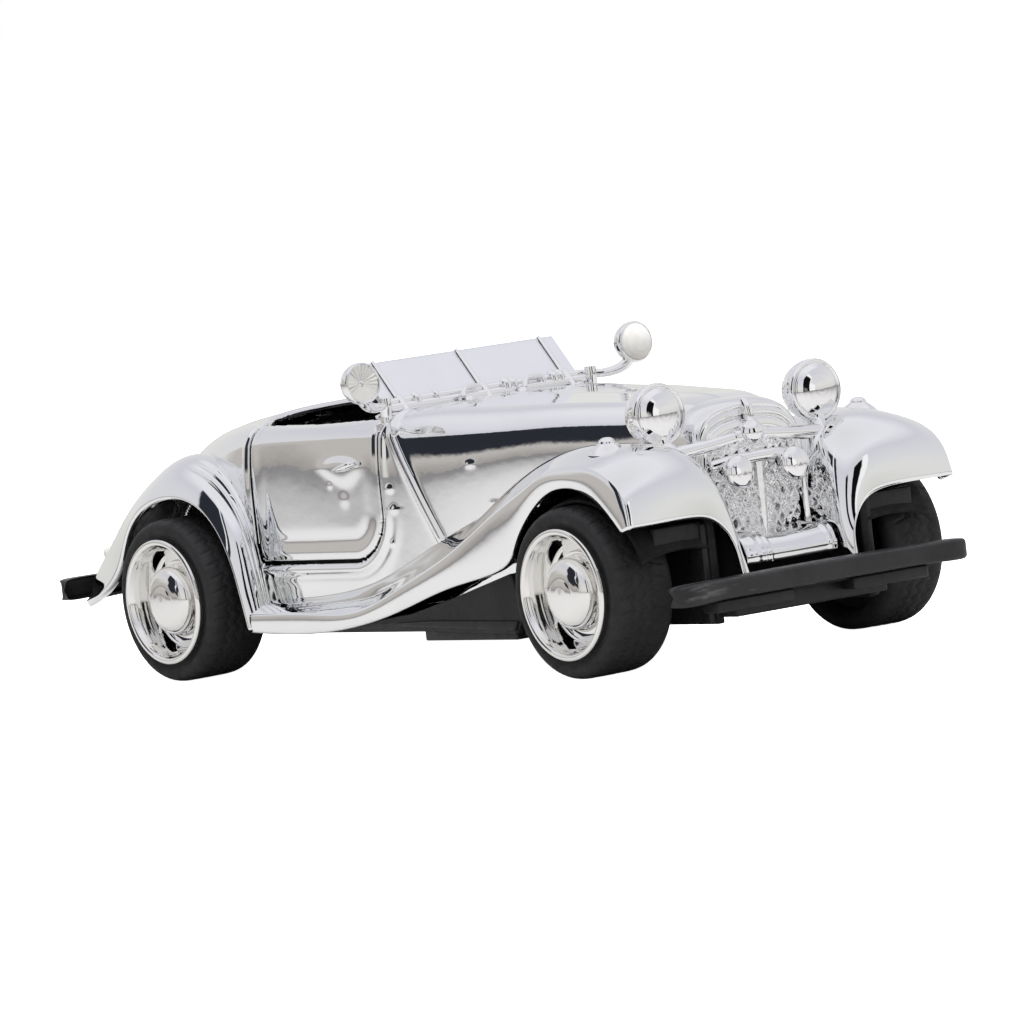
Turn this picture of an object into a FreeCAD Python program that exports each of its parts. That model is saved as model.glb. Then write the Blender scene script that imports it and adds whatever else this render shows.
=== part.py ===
"""Die-cast collector car: an open two-seat roadster with swept fenders, pull-back drive and two opening doors.

Units are millimetres. +X is forward, +Y is the car's left, +Z is up. Stations are measured from the middle of
the wheelbase while the parts are built, and save() moves them so that the origin is the centre of the whole car's
footprint, on the surface it stands on.
"""
import FreeCAD, Part
import math
import os

Vec = FreeCAD.Vector

# Driving dimensions
WHEELBASE = 89.1
TYRE_R = 11.1
RIM_R = 8.5
TRACK_OUT = 28.0            # car centre to the rim's outer face
AXLE_R = 0.9
FRONT_END = 64.7            # front face of the front bumper
REAR_END = -76.0            # back face of the rear bumper
BUMPER_HALF = 24.0
BUMPER_DEPTH = 3.0
BUMPER_LOW = 8.6            # front bumper's lower and upper faces
BUMPER_HIGH = 11.3
WALL = 1.1                  # casting wall
FENDER_WALL = 1.0
BASE_Z = 5.0                # underside of the base plate
BASE_PLATE = 1.2
DOOR_FRONT = -2.9
DOOR_REAR = -31.0
DOOR_SILL = 15.2
DOOR_GAP = 0.35
DOOR_TURN_GAP = 0.85        # behind the door, where its rear edge swings
DOOR_RELIEF = 16.3          # how far in the deck is cut back for the door's top rear corner
HINGE_X = -29.5
HINGE_Y = 18.9
HINGE_PIN_R = 0.6
FIT = 0.06                  # radial clearance of a turning fit
COCKPIT_HALF = 17.2
COCKPIT_FRONT = -7.0
COCKPIT_REAR = -35.0
LAMP_R = 4.1
SPOT_R = 2.75
SCREWS = [(22.0, 1.0, 33.6), (-63.0, 0.8, 25.5)]   # x, radius, top of the post
MODULE = 0.4                # gear module of the pull-back motor
PINION_TEETH = 12
BARREL_TEETH = 24
BARREL_X = -51.2
BARREL_Z = 14.0

FRONT_X = WHEELBASE / 2
REAR_X = -WHEELBASE / 2
FRAME_SHIFT = -(FRONT_END + REAR_END) / 2

# The hull, one row per station: x, sill half width and height, waist half width and height,
# shoulder half width and height, crown height
HULL = [
    (50.5, 6.2, 11.0, 8.2, 21.0, 7.6, 29.6, 32.4),
    (40.0, 9.2, 10.0, 10.8, 21.0, 9.8, 30.6, 33.6),
    (25.0, 13.4, 9.4, 14.0, 21.0, 12.6, 31.0, 34.1),
    (10.0, 17.6, 8.8, 17.4, 20.0, 15.2, 31.4, 34.4),
    (0.0, 19.6, 8.3, 19.4, 20.0, 17.4, 32.0, 34.6),
    (-15.0, 20.3, 8.0, 20.3, 20.0, 18.8, 32.2, 34.6),
    (-31.0, 20.3, 8.0, 20.3, 20.0, 18.8, 32.2, 34.6),
    (-43.0, 19.4, 8.8, 19.6, 19.0, 17.2, 30.8, 34.1),
    (-54.0, 16.6, 9.8, 17.0, 18.0, 14.0, 28.0, 31.4),
    (-64.0, 12.6, 10.6, 12.8, 16.6, 10.2, 23.4, 26.2),
    (-70.0, 9.0, 11.2, 9.2, 15.0, 7.2, 18.6, 20.6),
    (-73.5, 5.4, 11.6, 5.6, 13.4, 4.6, 15.0, 16.2),
]

# Fenders, one row per station, each with four points from the body outwards:
# inner edge, crown, shoulder and wheel-arch lip, as (x, half width, height)
FRONT_FENDER = [
    ((-28.4, 19.6, 10.4), (-28.4, 22.0, 10.2), (-28.4, 24.3, 9.2), (-28.4, 25.0, 6.6)),
    ((-17.0, 19.6, 10.7), (-17.0, 22.0, 10.4), (-17.0, 24.3, 9.2), (-17.0, 25.0, 6.5)),
    ((-5.0, 19.0, 12.8), (-5.0, 21.8, 11.8), (-5.0, 24.3, 9.9), (-5.0, 25.0, 7.1)),
    ((6.0, 17.4, 15.8), (6.0, 21.0, 15.2), (6.0, 24.4, 12.6), (6.0, 25.1, 9.4)),
    ((17.0, 14.8, 18.8), (17.0, 20.0, 19.6), (17.0, 24.4, 16.8), (17.5, 25.2, 12.2)),
    ((27.0, 12.4, 21.8), (27.0, 19.4, 24.2), (27.5, 24.4, 21.2), (28.6, 25.3, 14.6)),
    ((35.0, 10.6, 24.2), (34.6, 19.2, 27.4), (34.2, 24.3, 24.8), (33.4, 25.5, 18.4)),
    ((42.0, 9.2, 25.2), (41.6, 19.4, 29.0), (41.0, 24.4, 27.2), (38.6, 25.7, 22.8)),
    ((48.0, 7.8, 25.0), (48.4, 19.4, 29.2), (48.0, 24.7, 27.8), (45.0, 25.9, 24.6)),
    ((52.4, 7.8, 23.6), (54.6, 18.8, 27.4), (54.6, 24.9, 26.0), (51.4, 26.1, 23.2)),
    ((55.8, 7.8, 19.0), (58.8, 17.0, 23.2), (58.8, 24.2, 23.2), (55.6, 26.2, 21.0)),
    ((58.8, 7.8, 11.2), (60.0, 13.6, 18.2), (60.0, 21.0, 19.4), (58.6, 26.2, 19.2)),
]
REAR_FENDER = [
    ((-31.4, 19.6, 8.4), (-29.6, 21.6, 8.4), (-28.6, 23.8, 8.4), (-29.3, 25.0, 8.4)),
    ((-32.2, 19.6, 15.0), (-30.4, 21.6, 14.9), (-29.6, 23.8, 14.4), (-30.2, 25.0, 13.6)),
    ((-34.0, 19.4, 21.4), (-32.4, 21.6, 21.2), (-31.6, 23.8, 20.2), (-32.2, 25.0, 18.6)),
    ((-38.4, 18.8, 27.2), (-37.4, 21.4, 27.0), (-36.4, 23.8, 25.2), (-36.0, 25.0, 22.8)),
    ((-45.6, 17.6, 29.9), (-45.2, 20.6, 29.4), (-44.4, 23.6, 27.8), (-43.0, 25.0, 25.2)),
    ((-52.0, 15.8, 28.4), (-52.0, 19.8, 27.8), (-51.4, 23.2, 26.0), (-50.2, 25.0, 24.0)),
    ((-58.6, 13.2, 24.4), (-58.8, 18.4, 23.8), (-58.4, 22.6, 22.2), (-55.4, 24.9, 20.2)),
    ((-65.0, 10.2, 19.4), (-65.2, 16.6, 19.0), (-64.6, 21.8, 17.6), (-58.6, 24.6, 15.4)),
    ((-70.0, 7.4, 14.6), (-70.4, 14.2, 14.6), (-69.6, 20.2, 13.8), (-64.0, 23.6, 11.8)),
    ((-72.4, 5.0, 11.6), (-72.6, 11.6, 11.6), (-72.2, 17.6, 11.4), (-70.6, 21.4, 11.2)),
]


# ---------------------------------------------------------------- helpers
def save(name, shape):
    """Moves the part to the car's frame and writes its STEP file."""
    shape = shape.copy()
    shape.translate(Vec(FRAME_SHIFT, 0, 0))
    if not shape.isValid():
        print("NOT VALID:", name)
    solids = shape.Solids
    if not solids:
        print("NO SOLID:", name)
    print("%-22s solids %d volume %.2f" % (name, len(solids), sum(s.Volume for s in solids)))
    shape.exportStep("parts/%s.step" % name)


def mirrored(shape):
    return shape.mirror(Vec(0, 0, 0), Vec(0, 1, 0))


def save_pair(stem, left_shape):
    """A part of the car's left side, and its mirror image on the right."""
    save(stem + "_left", left_shape)
    save(stem + "_right", mirrored(left_shape))


def box(x0, x1, y0, y1, z0, z1):
    return Part.makeBox(x1 - x0, y1 - y0, z1 - z0, Vec(x0, y0, z0))


def rod(radius, start, end):
    start, end = Vec(*start), Vec(*end)
    return Part.makeCylinder(radius, (end - start).Length, start, end - start)


def ball(radius, x, y, z):
    return Part.makeSphere(radius, Vec(x, y, z))


def curve(points):
    spline = Part.BSplineCurve()
    spline.interpolate([Vec(*p) for p in points])
    return spline.toShape()


def line(a, b):
    return Part.makeLine(Vec(*a), Vec(*b))


def turned(profile, centre, axis):
    """Revolves a closed profile of (along, radius) points about an axis through centre."""
    points = [Vec(radius, 0, along) for along, radius in profile]
    face = Part.Face(Part.makePolygon(points + points[:1]))
    solid = face.revolve(Vec(0, 0, 0), Vec(0, 0, 1), 360)
    turn = FreeCAD.Rotation(Vec(0, 0, 1), Vec(*axis))
    solid.Placement = FreeCAD.Placement(Vec(*centre), turn)
    if solid.Volume < 0:
        solid.reverse()
    return solid


# ---------------------------------------------------------------- body casting
def hull_section(row, inset):
    """A closed hull section, smaller by inset all round, except that it runs out below the underside."""
    x, sill, sill_z, waist, waist_z, shoulder, shoulder_z, crown = row
    half = [
        (sill - inset, sill_z - inset),
        (waist - inset, waist_z),
        (shoulder - inset, shoulder_z - 0.6 * inset),
        (0.62 * (shoulder - inset), crown - inset - 0.28 * (crown - shoulder_z)),
        (0.0, crown - inset),
    ]
    left = [(x, y, z) for y, z in half]
    right = [(x, -y, z) for y, z in reversed(half[:-1])]
    return Part.Wire([curve(left + right), line(right[-1], left[0])])


def hull_solid(inset):
    rows = [list(row) for row in HULL]
    if inset:
        rows[0][0] -= inset
        rows[-1][0] += inset
    return Part.makeLoft([hull_section(row, inset) for row in rows], True, False)


def surface(grid):
    patch = Part.BSplineSurface()
    patch.interpolate([[Vec(*p) for p in row] for row in grid])
    return patch


def thick_sheet(outer, inner):
    """A closed sheet between two smooth surfaces with matching grids of points."""
    patches = surface(outer), surface(inner)
    u0, u1, v0, v1 = patches[0].bounds()
    rims = [[patch.uIso(u0), patch.uIso(u1), patch.vIso(v0), patch.vIso(v1)] for patch in patches]
    faces = [patch.toShape() for patch in patches]
    faces += [Part.makeRuledSurface(a.toShape(), b.toShape()) for a, b in zip(*rims)]
    shell = Part.makeShell(faces)
    shell.sewShape()
    solid = Part.makeSolid(shell)
    if solid.Volume < 0:
        solid.reverse()
    return solid


def fender_solid(rows, side):
    """A fender of even wall through its stations, on the car's left; side is +1 or -1 for its inner face."""
    inner = []
    last = len(rows) - 1
    for i, row in enumerate(rows):
        points = []
        for j, p in enumerate(row):
            along = Vec(*rows[min(i + 1, last)][j]) - Vec(*rows[max(i - 1, 0)][j])
            across = Vec(*row[min(j + 1, 3)]) - Vec(*row[max(j - 1, 0)])
            step = along.cross(across).normalize() * (-side * FENDER_WALL)
            points.append((p[0] + step.x, p[1] + step.y, p[2] + step.z))
        inner.append(points)
    return thick_sheet(rows, inner)


def door_prism(grow, rear_grow):
    """The left door's outline in side view, carried in from the side, with a rounded lower front corner."""
    prism = box(DOOR_REAR - rear_grow, DOOR_FRONT + grow, COCKPIT_HALF - 0.2 - grow, 24.0, DOOR_SILL - grow, 40.0)
    corner = [e for e in prism.Edges if e.BoundBox.YLength > 5 and e.BoundBox.ZMax < DOOR_SILL + 1
              and e.BoundBox.XMin > DOOR_REAR + 5]
    return prism.makeFillet(4.0 + grow, corner)


def cockpit_prism(grow):
    """The open cockpit's outline from above, with round rear corners."""
    prism = box(COCKPIT_REAR - grow, COCKPIT_FRONT + grow, -COCKPIT_HALF - grow, COCKPIT_HALF + grow, 24.0, 40.0)
    rear = [e for e in prism.Edges if e.BoundBox.ZLength > 5 and e.BoundBox.XMax < COCKPIT_REAR - grow + 1]
    front = [e for e in prism.Edges if e.BoundBox.ZLength > 5 and e.BoundBox.XMin > COCKPIT_FRONT + grow - 1]
    return prism.makeFillet(7.0, rear).makeFillet(3.0, front)


def both(shape):
    return [shape, mirrored(shape)]


def well(axle_x, radius, y0, y1):
    return rod(radius, (axle_x, y0, TYRE_R), (axle_x, y1, TYRE_R))


def make_body():
    """The body casting, and the door skin that is cut out of it."""
    outer = hull_solid(0)
    skin = outer.cut(hull_solid(WALL)).cut(cockpit_prism(0))
    door = skin.common(door_prism(-DOOR_GAP, 0))
    shell = skin
    for prism in both(door_prism(0, DOOR_TURN_GAP)):
        shell = shell.cut(prism)
    for relief in both(box(DOOR_REAR - DOOR_TURN_GAP, HINGE_X + 1.5, DOOR_RELIEF, COCKPIT_HALF, 31.0, 36.0)):
        shell = shell.cut(relief)
    # sockets for the door pins, behind the sill
    for socket in both(box(-31.6, -27.6, 17.0, 19.8, 9.6, DOOR_SILL - 0.3)):
        shell = shell.fuse(socket)
    for hole in both(rod(HINGE_PIN_R + FIT, (HINGE_X, HINGE_Y, 10.4), (HINGE_X, HINGE_Y, 16))):
        shell = shell.cut(hole)
    # screw posts inside the bonnet and the tail
    for x, radius, top in SCREWS:
        shell = shell.fuse(rod(radius + 1.0, (x, 0, 7.4), (x, 0, top)))
        shell = shell.cut(rod(radius, (x, 0, 7.0), (x, 0, 16.0)))
    cuts = [well(REAR_X, 13.4, 16.4, 30), well(REAR_X, 1.7, 0, 30), well(FRONT_X, 1.7, 0, 30)]
    for cut in cuts:
        for shape in both(cut):
            shell = shell.cut(shape)
    fenders = []
    for rows, side in ((FRONT_FENDER, 1), (REAR_FENDER, -1)):
        fenders.append(fender_solid(rows, side).cut(outer))
    wings = [max(f.Solids, key=lambda s: s.Volume) for f in fenders]
    return outer, shell.fuse(both(wings[0]) + both(wings[1])), door, wings


def make_door(skin):
    """The left door with the foot and pin it swings on."""
    foot = box(HINGE_X - 0.9, HINGE_X + 3.0, HINGE_Y - 0.6, 19.6, DOOR_SILL + DOOR_GAP, DOOR_SILL + 3.4)
    pin = rod(HINGE_PIN_R, (HINGE_X, HINGE_Y, 10.8), (HINGE_X, HINGE_Y, DOOR_SILL + 1.0))
    return skin.fuse(foot).fuse(pin)


def make_handle():
    bar = rod(0.55, (-13.4, 20.95, 27.6), (-6.8, 20.75, 27.6))
    for x in (-12.6, -7.6):
        bar = bar.fuse(rod(0.45, (x, 19.0, 27.6), (x, 20.9, 27.6)))
    return bar


# ---------------------------------------------------------------- wheels and axles
def wheel_parts(axle_x):
    """Left wheel of an axle: tyre, rim and hub cap."""
    centre = (axle_x, 0, TYRE_R)
    tyre = [(17.8, 8.2), (17.8, 9.9), (18.5, 10.8), (19.5, TYRE_R), (26.1, TYRE_R), (27.0, 10.8), (27.4, 10.0),
            (27.1, RIM_R), (26.9, RIM_R), (26.9, 8.2)]
    rim = [(18.9, 8.2), (18.9, 7.4), (24.6, 7.0), (24.6, AXLE_R), (26.2, AXLE_R), (26.2, 6.9), (27.2, 7.5),
           (TRACK_OUT, 7.9), (TRACK_OUT, 8.3), (27.8, RIM_R), (27.3, RIM_R), (27.1, RIM_R), (26.9, RIM_R), (26.9, 8.2)]
    cap = [(26.2, 0.0), (26.2, 4.3), (26.7, 4.3), (27.6, 3.6), (28.1, 2.4), (28.3, 0.0)]
    rim = turned(rim, centre, (0, 1, 0))
    ring = well(axle_x, 6.5, 24, 26.2).cut(well(axle_x, 4.7, 24, 26.2))
    bars = [Part.makeBox(20, 4, 1.8, Vec(-10, 23.5, -0.9)), Part.makeBox(1.8, 4, 20, Vec(-0.9, 23.5, -10))]
    for bar in bars:
        bar.translate(Vec(axle_x, 0, TYRE_R))
        ring = ring.cut(bar)
    return turned(tyre, centre, (0, 1, 0)), rim.cut(ring), turned(cap, centre, (0, 1, 0))


def gear(teeth, x, z, y0, y1, bore, phase):
    """A spur gear about Y. phase is the direction, in degrees from +X towards +Z, of one tooth's middle."""
    pitch_r = MODULE * teeth / 2
    widths = ((pitch_r - 1.25 * MODULE, 0.62), (pitch_r, 0.46), (pitch_r + 0.9 * MODULE, 0.2))
    points = []
    for i in range(teeth):
        middle = math.radians(phase) + 2 * math.pi * i / teeth
        half = [(r, share * math.pi / teeth) for r, share in widths]
        for r, a in half:
            points.append((r, middle - a))
        for r, a in reversed(half):
            points.append((r, middle + a))
    outline = [Vec(x + r * math.cos(a), y0, z + r * math.sin(a)) for r, a in points]
    solid = Part.Face(Part.makePolygon(outline + outline[:1])).extrude(Vec(0, y1 - y0, 0))
    return solid.cut(rod(bore, (x, y0 - 1, z), (x, y1 + 1, z)))


def make_spring():
    """The flat mainspring, wound in the barrel's cup."""
    turns, steps, thick = 4, 24, 0.22
    inner, outer = [], []
    for i in range(turns * steps + 1):
        a = 2 * math.pi * i / steps
        r = 1.25 + 2.1 * i / (turns * steps)
        for side, offset in ((inner, 0), (outer, thick)):
            side.append(Vec(BARREL_X + (r + offset) * math.cos(a), -4.4, BARREL_Z + (r + offset) * math.sin(a)))
    outline = inner + outer[::-1]
    return Part.Face(Part.makePolygon(outline + outline[:1])).extrude(Vec(0, 3.6, 0))


def make_motor():
    """The pull-back motor's case and its side cover, around the rear axle."""
    case = box(-58.0, -40.6, -7.0, 7.0, BASE_Z + BASE_PLATE, 21.0)
    case = case.cut(box(-57.0, -41.6, -6.0, 8.0, BASE_Z + BASE_PLATE + 1.0, 20.0))
    cover = box(-57.0, -41.6, 6.0, 7.0, BASE_Z + BASE_PLATE + 1.0, 20.0)
    axle_hole = well(REAR_X, AXLE_R + FIT, -9, 9)
    shaft = rod(0.6, (BARREL_X, -7.0, BARREL_Z), (BARREL_X, 7.0, BARREL_Z))
    return case.cut(axle_hole).cut(shaft), cover.cut(axle_hole).cut(shaft), shaft


def make_barrel():
    towards = math.degrees(math.atan2(TYRE_R - BARREL_Z, REAR_X - BARREL_X))
    wheel = gear(BARREL_TEETH, BARREL_X, BARREL_Z, 0.0, 2.4, 0.6 + FIT, towards + 180.0 / BARREL_TEETH)
    cup = rod(4.1, (BARREL_X, -4.8, BARREL_Z), (BARREL_X, 0.0, BARREL_Z))
    cup = cup.cut(rod(3.75, (BARREL_X, -5.0, BARREL_Z), (BARREL_X, -0.6, BARREL_Z)))
    cup = cup.cut(rod(0.6 + FIT, (BARREL_X, -5.0, BARREL_Z), (BARREL_X, 1.0, BARREL_Z)))
    return wheel.fuse(cup)


def make_pinion():
    towards = math.degrees(math.atan2(BARREL_Z - TYRE_R, BARREL_X - REAR_X))
    return gear(PINION_TEETH, REAR_X, TYRE_R, -0.4, 2.8, AXLE_R, towards)


# ---------------------------------------------------------------- chassis and interior


def make_chassis():
    """Black base plate with bumpers, axle bearings and wheel-well liners."""
    base = box(-68.0, 57.0, -12.0, 12.0, BASE_Z, BASE_Z + BASE_PLATE)
    base = base.fuse(box(-28.0, 29.0, -23.4, 23.4, BASE_Z, BASE_Z + BASE_PLATE))
    base = base.fuse(box(-67.0, -31.0, -15.6, 15.6, BASE_Z, BASE_Z + BASE_PLATE))
    # bumper bars and the arms that carry them
    front = box(FRONT_END - BUMPER_DEPTH, FRONT_END, -BUMPER_HALF, BUMPER_HALF, BUMPER_LOW, BUMPER_HIGH)
    front = front.makeFillet(1.2, [e for e in front.Edges if e.BoundBox.YLength > 5])
    rear = box(REAR_END, REAR_END + BUMPER_DEPTH, -BUMPER_HALF, BUMPER_HALF, 11.0, 14.0)
    rear = rear.makeFillet(1.2, [e for e in rear.Edges if e.BoundBox.YLength > 5])
    base = base.fuse(front).fuse(box(55.0, FRONT_END - 2.0, -7.0, 7.0, BASE_Z + 1.0, 9.8))
    base = base.fuse(rear).fuse(box(-74.6, -66.0, -10.0, 10.0, 8.0, 10.3))
    base = base.fuse(box(-74.6, -73.2, -10.0, 10.0, 8.0, 12.0)).fuse(box(-68.0, -66.0, -10.0, 10.0, BASE_Z, 9.0))
    # axle bearings, wheel-well walls and sill fillers
    for side in (1, -1):
        for x in (FRONT_X, REAR_X):
            y0, y1 = sorted((side * 8.6, side * 10.6)) if x == REAR_X else sorted((side * 4.4, side * 6.4))
            base = base.fuse(box(x - 2.2, x + 2.2, y0, y1, BASE_Z + 0.4, 13.6))
        y0, y1 = sorted((side * 14.6, side * 15.6))
        base = base.fuse(box(-58.0, -31.2, y0, y1, BASE_Z, 22.0).common(
            rod(12.9, (REAR_X, y0, TYRE_R), (REAR_X, y1, TYRE_R))))
        y0, y1 = sorted((side * 12.4, side * 13.4))
        base = base.fuse(box(31.5, 57.6, y0, y1, BASE_Z, 20.6).fuse(
            box(31.5, 57.6, *sorted((side * 11.0, side * 13.4)), BASE_Z, BASE_Z + BASE_PLATE)))
        y0, y1 = sorted((side * 21.4, side * 23.4))
        base = base.fuse(box(-28.0, 29.0, y0, y1, BASE_Z, 6.9))
    for x in (FRONT_X, REAR_X):
        base = base.cut(well(x, AXLE_R + FIT, -12, 12))
        base = base.cut(well(x, 1.7, 12, 20)).cut(well(x, 1.7, -20, -12))
    for x, radius, top in SCREWS:
        base = base.fuse(rod(radius + 2.0, (x, 0, BASE_Z), (x, 0, 7.4)))
        base = base.cut(rod(radius, (x, 0, 4), (x, 0, 9))).cut(rod(radius + 1.0, (x, 0, 4), (x, 0, BASE_Z + 0.9)))
    return base


def make_screw(x, radius):
    screw = rod(radius, (x, 0, BASE_Z + 0.9), (x, 0, 15.0))
    head = rod(radius + 0.9, (x, 0, BASE_Z + 0.2), (x, 0, BASE_Z + 0.9))
    slot = box(x - 0.2, x + 0.2, -radius, radius, BASE_Z, BASE_Z + 0.55)
    return screw.fuse(head).cut(slot).cut(box(x - radius, x + radius, -0.2, 0.2, BASE_Z, BASE_Z + 0.55))


def make_tub():
    """The black cockpit tub with its seats, tunnel and dashboard, in one moulding."""
    tub = box(-35.4, -3.4, -16.0, 16.0, 8.0, 29.6)
    tub = tub.cut(box(-34.2, -4.6, -15.0, 15.0, 9.2, 30.0))
    for side in (1, -1):
        y0, y1 = sorted((side * 1.6, side * 14.0))
        seat = box(-30.0, -15.0, y0, y1, 9.0, 17.0).fuse(box(-34.4, -29.6, y0, y1, 9.0, 29.2))
        soft = [e for e in seat.Edges if e.BoundBox.YLength > 5 and e.BoundBox.ZMin > 15]
        tub = tub.fuse(seat.makeFillet(1.2, soft))
    tub = tub.fuse(box(-30.0, -4.6, -1.6, 1.6, 9.0, 14.0))
    tub = tub.fuse(box(-8.6, -4.4, -15.2, 15.2, 22.0, 29.6))
    dial = rod(2.3, (-8.9, 8.0, 26.0), (-8.0, 8.0, 26.0))
    return tub.fuse(dial).fuse(rod(1.5, (-8.9, 2.6, 26.2), (-8.0, 2.6, 26.2)))


def make_steering_wheel():
    rim = Part.makeTorus(4.3, 0.55, Vec(0, 0, 0), Vec(0, 0, 1))
    for a in (90, 210, 330):
        tip = (4.3 * math.cos(math.radians(a)), 4.3 * math.sin(math.radians(a)), 0)
        rim = rim.fuse(rod(0.4, (0, 0, 0), tip))
    rim = rim.fuse(rod(1.1, (0, 0, -0.7), (0, 0, 0.6))).fuse(rod(0.7, (0, 0, -6.4), (0, 0, 0)))
    rim.Placement = FreeCAD.Placement(Vec(-13.6, 8.0, 26.2), FreeCAD.Rotation(Vec(0, 1, 0), -62))
    return rim


# ---------------------------------------------------------------- bright trim
def make_grille(outer):
    """The V-fronted radiator grille over the nose of the body."""
    plan = [(50.5, -8.6), (52.9, 0.0), (50.5, 8.6), (49.5, 8.6), (49.5, -8.6)]
    points = [Vec(x, y, 15.0) for x, y in plan]
    grille = Part.Face(Part.makePolygon(points + points[:1])).extrude(Vec(0, 0, 17.0))
    crown = rod(11.5, (40, 0, 20.4), (60, 0, 20.4)).fuse(box(40, 60, -8.6, 8.6, 10, 24))
    return grille.common(crown).cut(outer)


def make_apron():
    """The curved apron between the fender fronts, under the grille."""
    plan = [(51.0, -7.3), (58.2, -7.3), (60.0, 0.0), (58.2, 7.3), (51.0, 7.3)]
    points = [Vec(x, y, 10.6) for x, y in plan]
    apron = Part.Face(Part.makePolygon(points + points[:1])).extrude(Vec(0, 0, 4.3))
    return apron.cut(box(50.0, 57.0, -6.3, 6.3, 10.0, 13.9))


def make_lamp_bar():
    bar = ball(1.6, 51.9, 0, 28.1)
    for side in (1, -1):
        bar = bar.fuse(rod(0.65, (51.9, 0, 28.1), (49.6, side * 11.6, 27.1)))
    return bar


def bowl(radius, depth, centre, stem_end, stem_r):
    """A lamp shell that opens forward, with a rim and a stem."""
    solid = turned([(0.0, 0.0), (0.0, radius), (-0.2 * depth, radius), (-0.26 * depth, 0.96 * radius),
                    (-0.5 * depth, 0.86 * radius), (-0.78 * depth, 0.6 * radius), (-depth, 0.0)], centre, (1, 0, 0))
    hollow = turned([(0.0, 0.0), (0.0, radius - 0.5), (-1.0, radius - 0.5), (-0.4 * depth - 0.5, 0.6 * radius),
                     (-0.8 * depth, 0.0)], centre, (1, 0, 0))
    x, y, z = centre
    stem = rod(stem_r, (x - 0.45 * depth, y, z), stem_end)
    return solid.fuse(stem).cut(hollow)


def lens(radius, bulge, centre):
    profile = [(-1.0, 0.0), (-1.0, radius - 0.5), (0.0, radius - 0.5), (0.6 * bulge, 0.6 * radius), (bulge, 0.0)]
    return turned(profile, centre, (1, 0, 0))


def make_spot():
    """A spot lamp on its curved arm from the foot of the windshield, on the left."""
    centre = (0.3, 23.0, 39.05)
    shell = bowl(SPOT_R, 3.4, centre, (-0.8, 22.4, 36.8), 0.5)
    path = curve([(-0.8, 22.4, 36.9), (-1.2, 21.4, 35.8), (-1.8, 19.6, 34.8), (-2.6, 17.6, 34.3)])
    ring = Part.Wire(Part.makeCircle(0.5, Vec(-0.8, 22.4, 36.9), path.tangentAt(path.FirstParameter)))
    arm = Part.Wire(path).makePipeShell([ring], True, False)
    hollow = turned([(0.4, 0.0), (0.4, SPOT_R - 0.5), (-1.0, SPOT_R - 0.5), (-1.0, 0.0)], centre, (1, 0, 0))
    return shell.fuse(Part.makeSolid(arm) if not arm.Solids else arm.Solids[0]).cut(hollow)


def windshield(outer):
    """The raked two-pane windshield and its frame, built flat and then leaned back."""
    def slab(y0, y1, u0, u1, t0, t1):
        return box(t0, t1, y0, y1, u0, u1)
    pane = slab(-15.6, 15.6, -0.9, 6.9, -0.3, 0.3)
    frame = slab(-17.3, 17.3, -3.2, 7.7, -0.7, 0.7).cut(slab(-15.6, 15.6, 0.3, 6.9, -2, 2))
    for y in (-14.0, 0.0, 14.0):
        frame = frame.fuse(slab(y - 0.4, y + 0.4, 0.0, 7.2, -0.7, 0.7))
    frame = frame.cut(pane)
    placed = []
    for shape in (frame, pane):
        shape.Placement = FreeCAD.Placement(Vec(-4.5, 0, 35.2), FreeCAD.Rotation(Vec(0, 1, 0), -42))
        placed.append(shape.cut(outer))
    frame, pane = placed
    for swing in both(box(DOOR_REAR, DOOR_FRONT + 0.8, 16.2, 25.0, 20.0, 34.8)):
        frame = frame.cut(swing)
    return max(frame.Solids, key=lambda s: s.Volume), max(pane.Solids, key=lambda s: s.Volume)


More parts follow.
